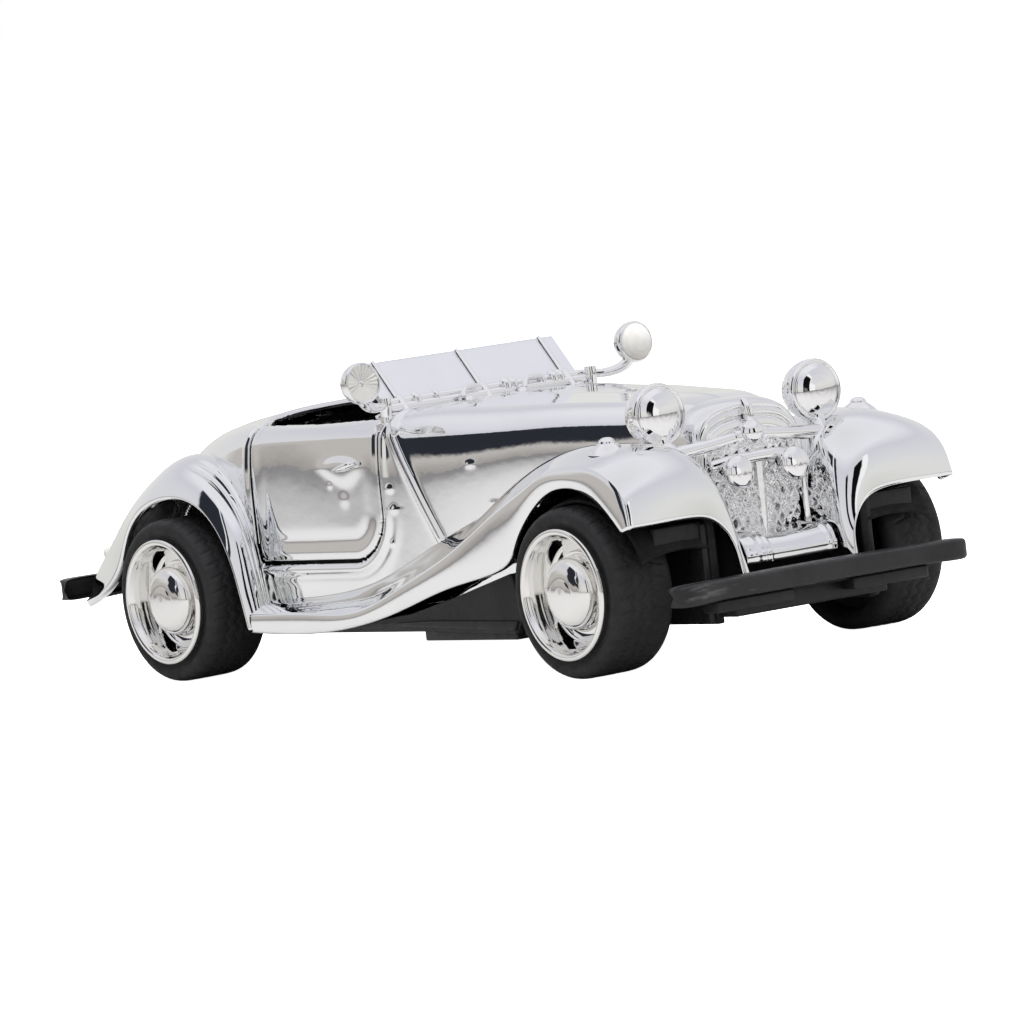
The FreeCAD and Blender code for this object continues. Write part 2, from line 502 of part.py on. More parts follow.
# ---------------------------------------------------------------- build
def main():
    os.makedirs("parts", exist_ok=True)
    outer, body, door_skin, wings = make_body()
    tub = make_tub()
    chassis = max(make_chassis().cut(body).cut(tub).Solids, key=lambda s: s.Volume)
    bar = make_lamp_bar().cut(outer)

    headlamp = bowl(LAMP_R, 6.4, (50.1, 13.0, 32.3), (48.2, 13.0, 27.0), 0.9).cut(wings[0]).cut(outer)
    headlamp = max(headlamp.Solids, key=lambda s: s.Volume)
    bar = bar.cut(headlamp).cut(mirrored(headlamp)).cut(wings[0]).cut(mirrored(wings[0]))
    grille = make_grille(outer).cut(bar)
    for wing in both(wings[0]):
        grille = grille.cut(wing)
    apron = make_apron()
    for wing in both(wings[0]):
        apron = apron.cut(wing)
    apron = apron.cut(chassis).cut(outer).cut(grille)
    fog = bowl(2.0, 2.6, (54.7, 4.6, 23.6), (51.0, 4.6, 23.2), 0.6).cut(grille).cut(wings[0])
    fog = max(fog.Solids, key=lambda s: s.Volume)
    marker = turned([(-1.6, 0.0), (-1.6, 1.5), (0.0, 1.7), (1.1, 1.2), (1.5, 0.0)], (48.6, 20.9, 29.9), (0, 0, 1))
    marker = max(marker.cut(wings[0]).Solids, key=lambda s: s.Volume)
    tail = turned([(-3.0, 0.0), (-3.0, 1.3), (0.0, 1.7), (1.4, 1.3), (1.9, 0.0)], (-67.7, 18.6, 16.7), (-0.66, 0.15, 0.74))
    tail = max(tail.cut(wings[1]).Solids, key=lambda s: s.BoundBox.ZMax)
    frame, pane = windshield(outer)
    spot = make_spot().cut(frame).cut(outer)
    spot = max(spot.Solids, key=lambda s: s.Volume)
    case, cover, shaft = make_motor()

    save("body_shell", body)
    save("chassis_base", chassis)
    save("interior_tub", tub)
    save("steering_wheel", make_steering_wheel().cut(tub))
    save("grille", grille)
    save("front_apron", apron)
    save("headlamp_bar", bar)
    save_pair("headlamp_shell", headlamp)
    save_pair("headlamp_lens", lens(LAMP_R, 1.6, (50.1, 13.0, 32.3)))
    save_pair("fog_lamp", fog)
    save_pair("fog_lens", lens(2.0, 0.8, (54.7, 4.6, 23.6)))
    save_pair("marker_lamp", marker)
    save("windshield_frame", frame)
    save("windshield_pane", pane)
    save_pair("spot_lamp", spot)
    save_pair("spot_lens", lens(SPOT_R, 0.8, (0.3, 23.0, 39.05)))
    save_pair("tail_lamp", tail)
    save("base_screws", Part.makeCompound([make_screw(x, r) for x, r, top in SCREWS]))
    save("motor_case", case)
    save("motor_cover", cover)
    save("barrel_shaft", shaft)
    save("barrel_gear", make_barrel())
    save("mainspring", make_spring())

    save_pair("door", make_door(door_skin))
    handle = make_handle().cut(door_skin)
    save_pair("door_handle", max(handle.Solids, key=lambda s: s.Volume))
    for name, x in (("front", FRONT_X), ("rear", REAR_X)):
        tyre, rim, cap = wheel_parts(x)
        save(name + "_axle", rod(AXLE_R, (x, -26.2, TYRE_R), (x, 26.2, TYRE_R)))
        save_pair(name + "_tyre", tyre)
        save_pair(name + "_rim", rim)
        save_pair(name + "_hub_cap", cap)
    save("rear_pinion", make_pinion())


main()
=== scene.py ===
"""Looks of the die-cast collector car. Sizes are in millimetres until mesh_object() turns them into metres.

X is measured from the middle of the wheelbase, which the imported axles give; Y is the car's left and Z is up.
Shapes are drawn for the car's left side and mirrored for its right.
"""
import math
import bmesh
import bpy
import numpy as np
from mathutils import Matrix, Vector


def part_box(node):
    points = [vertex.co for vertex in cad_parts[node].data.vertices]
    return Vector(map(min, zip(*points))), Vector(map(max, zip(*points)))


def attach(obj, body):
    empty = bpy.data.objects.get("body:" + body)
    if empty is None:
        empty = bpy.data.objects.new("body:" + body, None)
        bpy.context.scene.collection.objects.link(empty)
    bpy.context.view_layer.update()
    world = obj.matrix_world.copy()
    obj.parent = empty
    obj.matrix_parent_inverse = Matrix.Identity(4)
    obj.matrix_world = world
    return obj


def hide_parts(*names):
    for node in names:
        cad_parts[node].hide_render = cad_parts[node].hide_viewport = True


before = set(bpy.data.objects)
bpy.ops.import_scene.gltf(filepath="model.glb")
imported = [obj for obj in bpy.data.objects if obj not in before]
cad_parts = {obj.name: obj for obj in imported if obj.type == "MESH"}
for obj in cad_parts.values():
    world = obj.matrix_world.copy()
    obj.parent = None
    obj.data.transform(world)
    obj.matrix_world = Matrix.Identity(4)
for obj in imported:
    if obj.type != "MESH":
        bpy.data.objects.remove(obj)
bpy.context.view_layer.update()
BODY = "car_body"


def node_box(node):
    low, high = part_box(node)
    return np.array(low) * 1000.0, np.array(high) * 1000.0


def node_centre(node):
    low, high = node_box(node)
    return (low + high) / 2


FRONT_AXLE, REAR_AXLE = node_centre("front_axle"), node_centre("rear_axle")
SHIFT = np.array([(FRONT_AXLE[0] + REAR_AXLE[0]) / 2, 0.0, 0.0])
AXLE_Z = FRONT_AXLE[2]
FRONT_X, REAR_X = FRONT_AXLE[0] - SHIFT[0], REAR_AXLE[0] - SHIFT[0]
SIDES = ((False, "left"), (True, "right"))     # is it mirrored, and its name
MIRROR = (1, -1, 1)


# ------------------------------------------------------------------ mesh helpers
def mesh_object(name, verts, faces, material, body=BODY, slot=None, stands_for=(), smooth=True, mirror=False):
    """A piece with its vertices in millimetres from mid-wheelbase."""
    if mirror:
        verts, faces = np.asarray(verts) * MIRROR, [face[::-1] for face in faces]
    verts = (np.asarray(verts, dtype=float) + SHIFT) / 1000.0
    mesh = bpy.data.meshes.new(name)
    mesh.from_pydata(verts.tolist(), [], [tuple(int(i) for i in f) for f in faces])
    mesh.validate()
    mesh.materials.append(material)
    if smooth:
        mesh.polygons.foreach_set("use_smooth", [True] * len(mesh.polygons))
    piece = bpy.data.objects.new(name, mesh)
    bpy.context.collection.objects.link(piece)
    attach(piece, body)
    # Blender adds .001 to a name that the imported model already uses
    if stands_for:
        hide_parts(*stands_for)
    return piece


def spline(knots, values, at):
    """Natural cubic spline through values at the knots, read at the given places."""
    knots, values, at = np.asarray(knots, float), np.asarray(values, float), np.asarray(at, float)
    flat = values.reshape(len(knots), -1)
    n, h = len(knots), np.diff(knots)
    if n == 2:
        t = ((at - knots[0]) / h[0])[:, None]
        return (flat[0] * (1 - t) + flat[1] * t).reshape((len(at),) + values.shape[1:])
    system, right = np.eye(n), np.zeros_like(flat)
    for i in range(1, n - 1):
        system[i, i - 1:i + 2] = h[i - 1], 2 * (h[i - 1] + h[i]), h[i]
        right[i] = 6 * ((flat[i + 1] - flat[i]) / h[i] - (flat[i] - flat[i - 1]) / h[i - 1])
    bend = np.linalg.solve(system, right)
    k = np.clip(np.searchsorted(knots, at, side="right") - 1, 0, n - 2)
    a, b = ((knots[k + 1] - at) / h[k])[:, None], ((at - knots[k]) / h[k])[:, None]
    out = a * flat[k] + b * flat[k + 1]
    out += ((a ** 3 - a) * bend[k] + (b ** 3 - b) * bend[k + 1]) * (h[k] ** 2)[:, None] / 6
    return out.reshape((len(at),) + values.shape[1:])


def chord_knots(rows):
    """Spline knots from the mean distance between neighbouring rows of points."""
    rows = np.asarray(rows, float)
    steps = np.linalg.norm(np.diff(rows, axis=0), axis=-1)
    steps = steps.reshape(len(rows) - 1, -1).mean(axis=1)
    return np.concatenate([[0.0], np.cumsum(np.maximum(steps, 1e-6))])


def soften(grid, times, axis=1):
    """Rounds creases along one axis of a grid of points."""
    grid = np.moveaxis(np.array(grid, float), axis, 0)
    for _ in range(times):
        grid[1:-1] = (grid[:-2] + 2 * grid[1:-1] + grid[2:]) / 4
    return np.moveaxis(grid, 0, axis)


def loft(rows, along, pieces, soft=2):
    """A fine grid through rows of points. along is the number of rows wanted; each of pieces is
    (first column, last column, steps), and neighbouring pieces meet in a crease."""
    rows = np.asarray(rows, float)
    knots = chord_knots(rows)
    rows = spline(knots, rows, np.linspace(0, knots[-1], along))
    parts = []
    for first, last, steps in pieces:
        columns = rows[:, first:last + 1].transpose(1, 0, 2)
        cross = chord_knots(columns)
        part = spline(cross, columns, np.linspace(0, cross[-1], steps + 1)).transpose(1, 0, 2)
        parts.append(part if not parts else part[:, 1:])
    return soften(np.concatenate(parts, axis=1), soft)


def grid_faces(n, m, wrap_u=False, wrap_v=False):
    i = np.arange(n if wrap_u else n - 1)[:, None]
    j = np.arange(m if wrap_v else m - 1)[None, :]
    i2, j2 = (i + 1) % n, (j + 1) % m
    quads = np.stack([i * m + j, i2 * m + j, i2 * m + j2, i * m + j2], axis=-1)
    return quads.reshape(-1, 4)


def grid_normals(grid):
    du, dv = np.gradient(grid, axis=0), np.gradient(grid, axis=1)
    normal = np.cross(du, dv)
    return normal / np.maximum(np.linalg.norm(normal, axis=-1, keepdims=True), 1e-9)


def outward(grid, inside):
    """+1 or -1, so that grid_normals times it point away from a place inside."""
    away = (grid - np.asarray(inside, float)) * grid_normals(grid)
    return 1.0 if away.sum() > 0 else -1.0


def sheet_object(name, grid, inside, material, thickness=0.0, keep=None, mirror=False, lining=None, **kw):
    """A skin from a grid of points, with its faces looking away from a place inside."""
    n, m = grid.shape[:2]
    faces = grid_faces(n, m)
    if keep is not None:
        faces = faces[keep[:-1, :-1].reshape(-1)]
    if outward(grid, inside) < 0:
        faces = faces[:, ::-1]
    verts = grid.reshape(-1, 3)
    used = np.unique(faces)
    lookup = np.full(len(verts), -1)
    lookup[used] = np.arange(len(used))
    piece = mesh_object(name, verts[used], lookup[faces], material, mirror=mirror, **kw)
    if thickness:
        shell = piece.modifiers.new("wall", "SOLIDIFY")
        shell.thickness, shell.offset = thickness / 1000.0, -1.0
        shell.use_even_offset = False
        if lining:
            piece.data.materials.append(lining)
            shell.material_offset = 1
    return piece


def frame_of(axis):
    """Two directions square to an axis."""
    axis = np.asarray(axis, float) / np.linalg.norm(axis)
    helper = np.array([0.0, 0.0, 1.0]) if abs(axis[2]) < 0.9 else np.array([1.0, 0.0, 0.0])
    first = np.cross(helper, axis)
    first /= np.linalg.norm(first)
    return axis, first, np.cross(axis, first)


def turned_grid(profile, centre, axis, sides, steps=None, soft=0):
    """A closed ring grid from (along, radius) points turned about an axis."""
    profile = np.asarray(profile, float)
    if steps:
        knots = chord_knots(profile)
        profile = np.stack([np.interp(np.linspace(0, knots[-1], steps), knots, profile[:, k]) for k in (0, 1)],
                           1)
    profile = soften(profile, soft, axis=0)
    axis, first, second = frame_of(axis)
    angle = np.arange(sides) * 2 * math.pi / sides
    spoke = np.cos(angle)[:, None] * first + np.sin(angle)[:, None] * second
    return np.asarray(centre, float) + profile[:, 0][:, None, None] * axis + \
        profile[:, 1][:, None, None] * spoke[None]


def ring_object(name, grid, material, **kw):
    """A closed ring grid as a piece, with its faces turned outwards."""
    faces = grid_faces(*grid.shape[:2], wrap_v=True)
    verts = grid.reshape(-1, 3)
    quads = verts[faces]
    normal = np.cross(quads[:, 2] - quads[:, 0], quads[:, 3] - quads[:, 1])
    if ((quads.mean(axis=1) - verts.mean(axis=0)) * normal).sum() < 0:
        faces = faces[:, ::-1]
    return mesh_object(name, verts, faces, material, **kw)


def turned(name, profile, centre, axis, material, sides=72, steps=None, soft=0, mirror=False, **kw):
    """A piece turned on a lathe."""
    return ring_object(name, turned_grid(profile, centre, axis, sides, steps, soft), material, mirror=mirror,
                       **kw)


def pipe_grid(points, radius, sides=20, steps=None):
    """Rings along a smooth path. radius is one number, or one per point."""
    points = np.asarray(points, float)
    radius = np.full(len(points), radius, float) if np.isscalar(radius) else np.asarray(radius, float)
    knots = chord_knots(points)
    at = np.linspace(0, knots[-1], steps or 6 * len(points))
    path, radius = spline(knots, points, at), np.interp(at, knots, radius)
    tangent = np.gradient(path, axis=0)
    tangent /= np.linalg.norm(tangent, axis=1, keepdims=True)
    axis, first, second = frame_of(tangent[0])
    angle = np.arange(sides) * 2 * math.pi / sides
    rings = []
    for place, along, r in zip(path, tangent, radius):
        first = first - along * np.dot(first, along)
        first /= np.linalg.norm(first)
        second = np.cross(along, first)
        rings.append(place + r * (np.cos(angle)[:, None] * first + np.sin(angle)[:, None] * second))
    return np.array(rings)


def pipe(name, points, radius, material, sides=20, steps=None, mirror=False, **kw):
    """A rod along a smooth path, closed at both ends."""
    grid = pipe_grid(points, radius, sides, steps)
    n, m = grid.shape[:2]
    verts = np.concatenate([grid.reshape(-1, 3), [grid[0].mean(axis=0)], [grid[-1].mean(axis=0)]])
    faces = [tuple(f) for f in grid_faces(n, m, wrap_v=True)]
    for j in range(m):
        faces.append((j, (j + 1) % m, n * m))
        faces.append(((n - 1) * m + (j + 1) % m, (n - 1) * m + j, n * m + 1))
    return mesh_object(name, verts, faces, material, mirror=mirror, **kw)


def block(name, size, centre, material, bevel=0.3, **kw):
    """A moulded block with rounded edges."""
    corners = np.array([(x, y, z) for x in (-1, 1) for y in (-1, 1) for z in (-1, 1)], float)
    verts = corners * np.asarray(size, float) / 2 + np.asarray(centre, float)
    faces = [(0, 1, 3, 2), (4, 6, 7, 5), (0, 4, 5, 1), (2, 3, 7, 6), (0, 2, 6, 4), (1, 5, 7, 3)]
    piece = mesh_object(name, verts, faces, material, **kw)
    edge = piece.modifiers.new("edge", "BEVEL")
    edge.width, edge.segments = bevel / 1000.0, 3
    return piece


def prism(name, outline, low, high, axis, material, bevel=0.25, mirror=False, **kw):
    """A flat outline carried from low to high along an axis, with rounded edges."""
    order = {"x": (2, 0, 1), "y": (0, 2, 1), "z": (0, 1, 2)}[axis]
    verts = [[(a, b, level)[k] for k in order] for level in (low, high) for a, b in outline]
    n = len(outline)
    faces = [tuple(range(n)), tuple(range(2 * n - 1, n - 1, -1))]
    faces += [(i, n + i, n + (i + 1) % n, (i + 1) % n) for i in range(n)]
    piece = mesh_object(name, verts, faces, material, mirror=mirror, **kw)
    mesh = piece.data
    edge = piece.modifiers.new("edge", "BEVEL")
    edge.width, edge.segments, edge.limit_method = bevel / 1000.0, 3, "ANGLE"
    edge.angle_limit = math.radians(25)
    shape = bmesh.new()
    shape.from_mesh(mesh)
    bmesh.ops.recalc_face_normals(shape, faces=shape.faces)
    shape.to_mesh(mesh)
    shape.free()
    return piece


# ------------------------------------------------------------------ materials
def new_material(name, color, metallic, roughness, coat=0.0):
    material = bpy.data.materials.new(name)
    material.use_nodes = True
    shader = material.node_tree.nodes["Principled BSDF"]
    shader.inputs["Base Color"].default_value = (*color, 1)
    shader.inputs["Metallic"].default_value = metallic
    shader.inputs["Roughness"].default_value = roughness
    shader.inputs["Coat Weight"].default_value = coat
    return material, material.node_tree, shader


def link(tree, a, out, b, into):
    tree.links.new(a.outputs[out], b.inputs[into])


def add_node(tree, kind, **values):
    """A shader node with constants on its inputs; an underscore stands for a space in an input's name."""
    node = tree.nodes.new("ShaderNode" + kind)
    for name, value in values.items():
        node.inputs[name.replace("_", " ")].default_value = value
    return node


def noise_node(tree, scale, detail=3.0, rough=0.5):
    node = add_node(tree, "TexNoise", Scale=scale, Detail=detail, Roughness=rough)
    link(tree, add_node(tree, "TexCoord"), "Object", node, "Vector")
    return node


def spread(tree, source, out, low, high, from_low=0.3, from_high=0.7):
    node = add_node(tree, "MapRange", From_Min=from_low, From_Max=from_high, To_Min=low, To_Max=high)
    link(tree, source, out, node, "Value")
    return node


def mix_color(tree, factor, first, second):
    """Goes from a linked colour to a constant one."""
    mix = add_node(tree, "Mix")
    mix.data_type = "RGBA"
    tree.links.new(factor, mix.inputs["Factor"])
    tree.links.new(first, mix.inputs[6])
    mix.inputs[7].default_value = (*second, 1)
    return mix.outputs[2]


def add_bump(tree, shader, layers, distance):
    """layers is a list of (node, output, strength), one bump over the next."""
    last = None
    for node, out, strength in layers:
        bump = add_node(tree, "Bump", Strength=strength, Distance=distance)
        link(tree, node, out, bump, "Height")
        if last:
            link(tree, last, "Normal", bump, "Normal")
        last = bump
    link(tree, last, "Normal", shader, "Normal")


def color_ramp(tree, source, out, stops):
    ramp = add_node(tree, "ValToRGB")
    elements = ramp.color_ramp.elements
    for element, (place, color) in zip(elements, stops[:2]):
        element.position, element.color = place, (*color, 1)
    for place, color in stops[2:]:
        elements.new(place).color = (*color, 1)
    link(tree, source, out, ramp, "Fac")
    return ramp


def plated(name, color, rough, ripple, ripple_scale=450.0):
    """Vacuum-plated metal: mirror bright, with a faint orange peel and a slow waviness."""
    material, tree, shader = new_material(name, color, 1.0, rough)
    cloud = noise_node(tree, 90.0, 2.0)
    tone = color_ramp(tree, cloud, "Fac", [(0.3, tuple(c * 0.965 for c in color)), (0.7, color)])
    link(tree, tone, "Color", shader, "Base Color")
    peel = noise_node(tree, ripple_scale, 2.0)
    wave = noise_node(tree, 70.0, 1.0)
    sheen = spread(tree, noise_node(tree, 260.0, 4.0), "Fac", rough * 0.7, rough * 1.5)
    link(tree, sheen, "Result", shader, "Roughness")
    add_bump(tree, shader, [(peel, "Fac", ripple), (wave, "Fac", ripple * 1.6)], 0.0004)
    return material


def moulded(name, color, rough, grain, scale=900.0, wear=0.0):
    """Black or pale moulded plastic with a fine grain, and rubbed streaks where wear is above 0."""
    material, tree, shader = new_material(name, color, 0.0, rough)
    shader.inputs["Specular IOR Level"].default_value = 0.35
    cloud = noise_node(tree, 160.0, 5.0)
    light = tuple(min(1.0, c * 1.5 + 0.004) for c in color)
    tone = color_ramp(tree, cloud, "Fac", [(0.35, color), (0.75, light)])
    if wear:
        streaks = noise_node(tree, 300.0, 6.0, 0.7)
        stretch = add_node(tree, "Mapping", Scale=(1.0, 0.12, 1.0))
        link(tree, add_node(tree, "TexCoord"), "Object", stretch, "Vector")
        link(tree, stretch, "Vector", streaks, "Vector")
        mask = spread(tree, streaks, "Fac", 0.0, wear, 0.56, 0.72)
        rubbed = mix_color(tree, mask.outputs["Result"], tone.outputs["Color"], (0.16, 0.16, 0.165))
        tree.links.new(rubbed, shader.inputs["Base Color"])
    else:
        link(tree, tone, "Color", shader, "Base Color")
    fine = noise_node(tree, scale, 3.0)
    sheen = spread(tree, fine, "Fac", rough * 0.85, min(1.0, rough * 1.2))
    link(tree, sheen, "Result", shader, "Roughness")
    add_bump(tree, shader, [(fine, "Fac", grain)], 0.0002)
    return material


CHROME = plated("silver_plate", (0.90, 0.905, 0.91), 0.035, 0.035)
TRIM = plated("bright_trim", (0.93, 0.93, 0.935), 0.04, 0.03, 700.0)
WHEEL_PLATE = plated("wheel_plate", (0.88, 0.875, 0.86), 0.05, 0.05, 500.0)
GRILLE_PLATE = plated("grille_plate", (0.93, 0.93, 0.93), 0.16, 0.08, 1500.0)
PANE = plated("silvered_pane", (0.88, 0.885, 0.915), 0.16, 0.01)
BLACK = moulded("black_plastic", (0.008, 0.008, 0.009), 0.42, 0.25)
WORN = moulded("black_bumper", (0.014, 0.014, 0.015), 0.42, 0.35, wear=0.8)
# the black plastic again, made darker for gaps, wells and hollows: painted shade
SHADED_BLACK = moulded("black_painted_shade", (0.004, 0.004, 0.0045), 0.7, 0.1)
RUBBER = moulded("tyre_rubber", (0.010, 0.010, 0.011), 0.62, 0.35, 700.0)
PEARL = moulded("pearl_lens", (0.74, 0.72, 0.66), 0.18, 0.05, 500.0)
RAY_PLATE = plated("ray_plate", (0.93, 0.92, 0.88), 0.16, 0.03)
STEEL = plated("bare_steel", (0.5, 0.5, 0.51), 0.25, 0.05)
NYLON = moulded("pale_nylon", (0.55, 0.55, 0.5), 0.4, 0.1)


# ------------------------------------------------------------------ body skin
# Hull rows: station, then (half width, height) from the sill up to the middle of the top. The columns are
# sill, lower side, waist, upper side, shoulder crease, band, upper crease, top and middle.
HULL = [
    (50.2, [(7.0, 12.0), (7.6, 18.0), (7.8, 23.0), (7.6, 27.5), (6.8, 29.6), (5.6, 31.0), (4.2, 31.7),
            (2.2, 31.9), (0, 32.0)]),
    (46.0, [(8.2, 11.5), (8.8, 18.0), (9.1, 23.0), (9.1, 28.0), (8.7, 30.4), (7.2, 32.1), (5.4, 32.9),
            (2.8, 33.1), (0, 33.2)]),
    (38.0, [(9.8, 11.0), (10.6, 18.0), (11.0, 23.0), (11.1, 28.4), (10.8, 30.9), (9.2, 32.8), (7.2, 33.6),
            (3.6, 33.7), (0, 33.8)]),
    (25.0, [(12.6, 10.5), (13.6, 18.0), (14.0, 23.0), (14.1, 28.6), (13.8, 31.1), (12.2, 33.1), (10.0, 34.1),
            (5.0, 34.2), (0, 34.3)]),
    (12.0, [(16.6, 9.6), (17.0, 17.0), (17.2, 22.5), (17.1, 28.4), (16.7, 31.2), (14.8, 33.3), (12.4, 34.3),
            (6.0, 34.5), (0, 34.6)]),
    (2.0, [(19.2, 8.8), (19.1, 16.0), (19.1, 22.0), (18.9, 28.4), (18.5, 31.4), (16.8, 33.5), (14.2, 34.5),
           (7.0, 34.8), (0, 34.9)]),
    (-4.0, [(19.9, 8.4), (19.9, 16.0), (19.8, 22.0), (19.6, 28.6), (19.2, 31.7), (17.8, 33.3), (15.2, 34.2),
            (7.6, 34.7), (0, 34.8)]),
    (-15.0, [(20.2, 8.2), (20.3, 16.0), (20.3, 22.0), (20.1, 28.6), (19.8, 31.6), (18.9, 32.9), (17.2, 33.4),
             (9.0, 34.2), (0, 34.5)]),
    (-31.0, [(20.2, 8.2), (20.3, 16.0), (20.3, 22.0), (20.1, 28.2), (19.7, 31.2), (18.6, 32.8), (16.8, 33.5),
             (9.0, 34.4), (0, 34.7)]),
    (-37.0, [(20.0, 8.6), (20.0, 16.0), (20.0, 22.0), (19.5, 27.6), (18.7, 30.6), (17.2, 32.6), (14.8, 33.6),
             (7.6, 34.5), (0, 34.8)]),
    (-43.0, [(19.0, 9.0), (19.2, 16.0), (19.2, 21.0), (18.6, 26.0), (17.6, 29.4), (15.8, 31.8), (13.2, 33.1),
             (6.8, 34.0), (0, 34.2)]),
    (-54.0, [(16.2, 9.8), (16.4, 15.5), (16.4, 19.5), (15.8, 23.5), (14.8, 26.6), (13.0, 29.0), (10.8, 30.5),
             (5.6, 31.6), (0, 31.9)]),
    (-64.0, [(12.2, 10.6), (12.4, 14.5), (12.4, 17.5), (12.0, 20.5), (11.0, 23.0), (9.6, 25.0), (7.8, 26.4),
             (4.0, 27.3), (0, 27.6)]),
    (-70.0, [(9.0, 11.2), (9.2, 13.6), (9.2, 15.8), (8.8, 18.0), (8.0, 19.8), (6.8, 21.2), (5.4, 22.2),
             (2.8, 22.9), (0, 23.1)]),
    (-72.6, [(7.0, 11.5), (7.2, 12.8), (7.2, 14.0), (7.0, 15.2), (6.2, 16.4), (5.2, 17.4), (4.2, 18.2),
             (2.2, 18.8), (0, 19.0)]),
]
DOOR_LOW, DOOR_HIGH = node_box("door_left")
DOOR_REAR, DOOR_FRONT = DOOR_LOW[0] - SHIFT[0], DOOR_HIGH[0] - SHIFT[0]
DOOR_SILL = 15.5
DOOR_TOP = 40.0
DOOR_CORNER = 6.0
SHUT_GAP = 0.55
COCKPIT = (-35.0, -6.5)     # rear and front of the opening
COCKPIT_HALF = 17.1


def door_distance(x, z):
    """How far a place on the side lies outside the door's outline, in side view; negative inside."""
    middle, half = (DOOR_REAR + DOOR_FRONT) / 2, (DOOR_FRONT - DOOR_REAR) / 2
    centre_z, half_z = (DOOR_SILL + DOOR_TOP) / 2, (DOOR_TOP - DOOR_SILL) / 2
    corner = np.where(x > middle, DOOR_CORNER, 1.6)
    qx, qz = np.abs(x - middle) - half + corner, np.abs(z - centre_z) - half_z + corner
    outside = np.hypot(np.maximum(qx, 0), np.maximum(qz, 0))
    return outside + np.minimum(np.maximum(qx, qz), 0) - corner


def cockpit_distance(x, y):
    """How far a place on top lies outside the cockpit opening, seen from above; negative inside."""
    middle, half = sum(COCKPIT) / 2, (COCKPIT[1] - COCKPIT[0]) / 2
    corner = np.where(x < middle, 8.0, 3.0)
    qx, qy = np.abs(x - middle) - half + corner, np.abs(y) - COCKPIT_HALF + corner
    outside = np.hypot(np.maximum(qx, 0), np.maximum(qy, 0))
    return outside + np.minimum(np.maximum(qx, qy), 0) - corner


def line_distance(x, z, points):
    """Distance in side view to a bent line."""
    best = np.full(x.shape, 1e9)
    for (x0, z0), (x1, z1) in zip(points, points[1:]):
        t = np.clip(((x - x0) * (x1 - x0) + (z - z0) * (z1 - z0)) / ((x1 - x0) ** 2 + (z1 - z0) ** 2), 0, 1)
        best = np.minimum(best, np.hypot(x - x0 - t * (x1 - x0), z - z0 - t * (z1 - z0)))
    return best


def ridge(distance, width):
    return np.exp(-(distance / width) ** 2)


COWL_RIB = [(-1.6, 34.2), (-0.2, 31.4), (3.0, 25.7), (7.1, 17.6)]


def hull_grid():
    """The whole skin as a grid of points, right sill to left sill. Rows follow the door's front and rear edges,
    and columns its bottom edge, so that the shut lines are clean."""
    rows = np.array([[(x, y, z) for y, z in half] for x, half in HULL], float)
    stations = np.concatenate([np.arange(-50.2, -9.0, 0.5), np.arange(-9.0, 4.0, 0.16),
                               np.arange(4.0, 40.0, 0.25),
                               np.arange(40.0, 72.7, 0.5)])
    for edge in (DOOR_REAR, DOOR_REAR - SHUT_GAP, DOOR_FRONT, DOOR_FRONT + SHUT_GAP):
        stations[np.argmin(np.abs(stations + edge))] = -edge
    dense = spline(-rows[:, 0, 0], rows, stations)
    parts = []
    for first, last, steps in ((0, 4, 400), (4, 6, 16), (6, 8, 40)):
        columns = dense[:, first:last + 1].transpose(1, 0, 2)
        cross = chord_knots(columns)
        part = spline(cross, columns, np.linspace(0, cross[-1], steps + 1)).transpose(1, 0, 2)
        if first == 0:
            part = np.array([by_height(line) for line in part])
        parts.append(part if not parts else part[:, 1:])
    grid = np.concatenate(parts, axis=1)
    crease = parts[0].shape[1]
    grid[:, crease - 8:] = soften(grid[:, crease - 8:], 3)
    return np.concatenate([grid, (grid * (1, -1, 1))[:, -2::-1]], axis=1)


def by_height(line):
    """Side points of one hull row, with levels at the door's sill and shut line."""
    low, high = line[0, 2], line[-1, 2]
    under, sill = DOOR_SILL - SHUT_GAP, DOOR_SILL
    levels = np.concatenate([np.linspace(low, under, 24)[:-1], [under, (under + sill) / 2],
                             sill + (high - sill) * np.linspace(0, 1, 110)])
    return np.stack([np.interp(levels, line[:, 2], line[:, k]) for k in range(3)], axis=1)


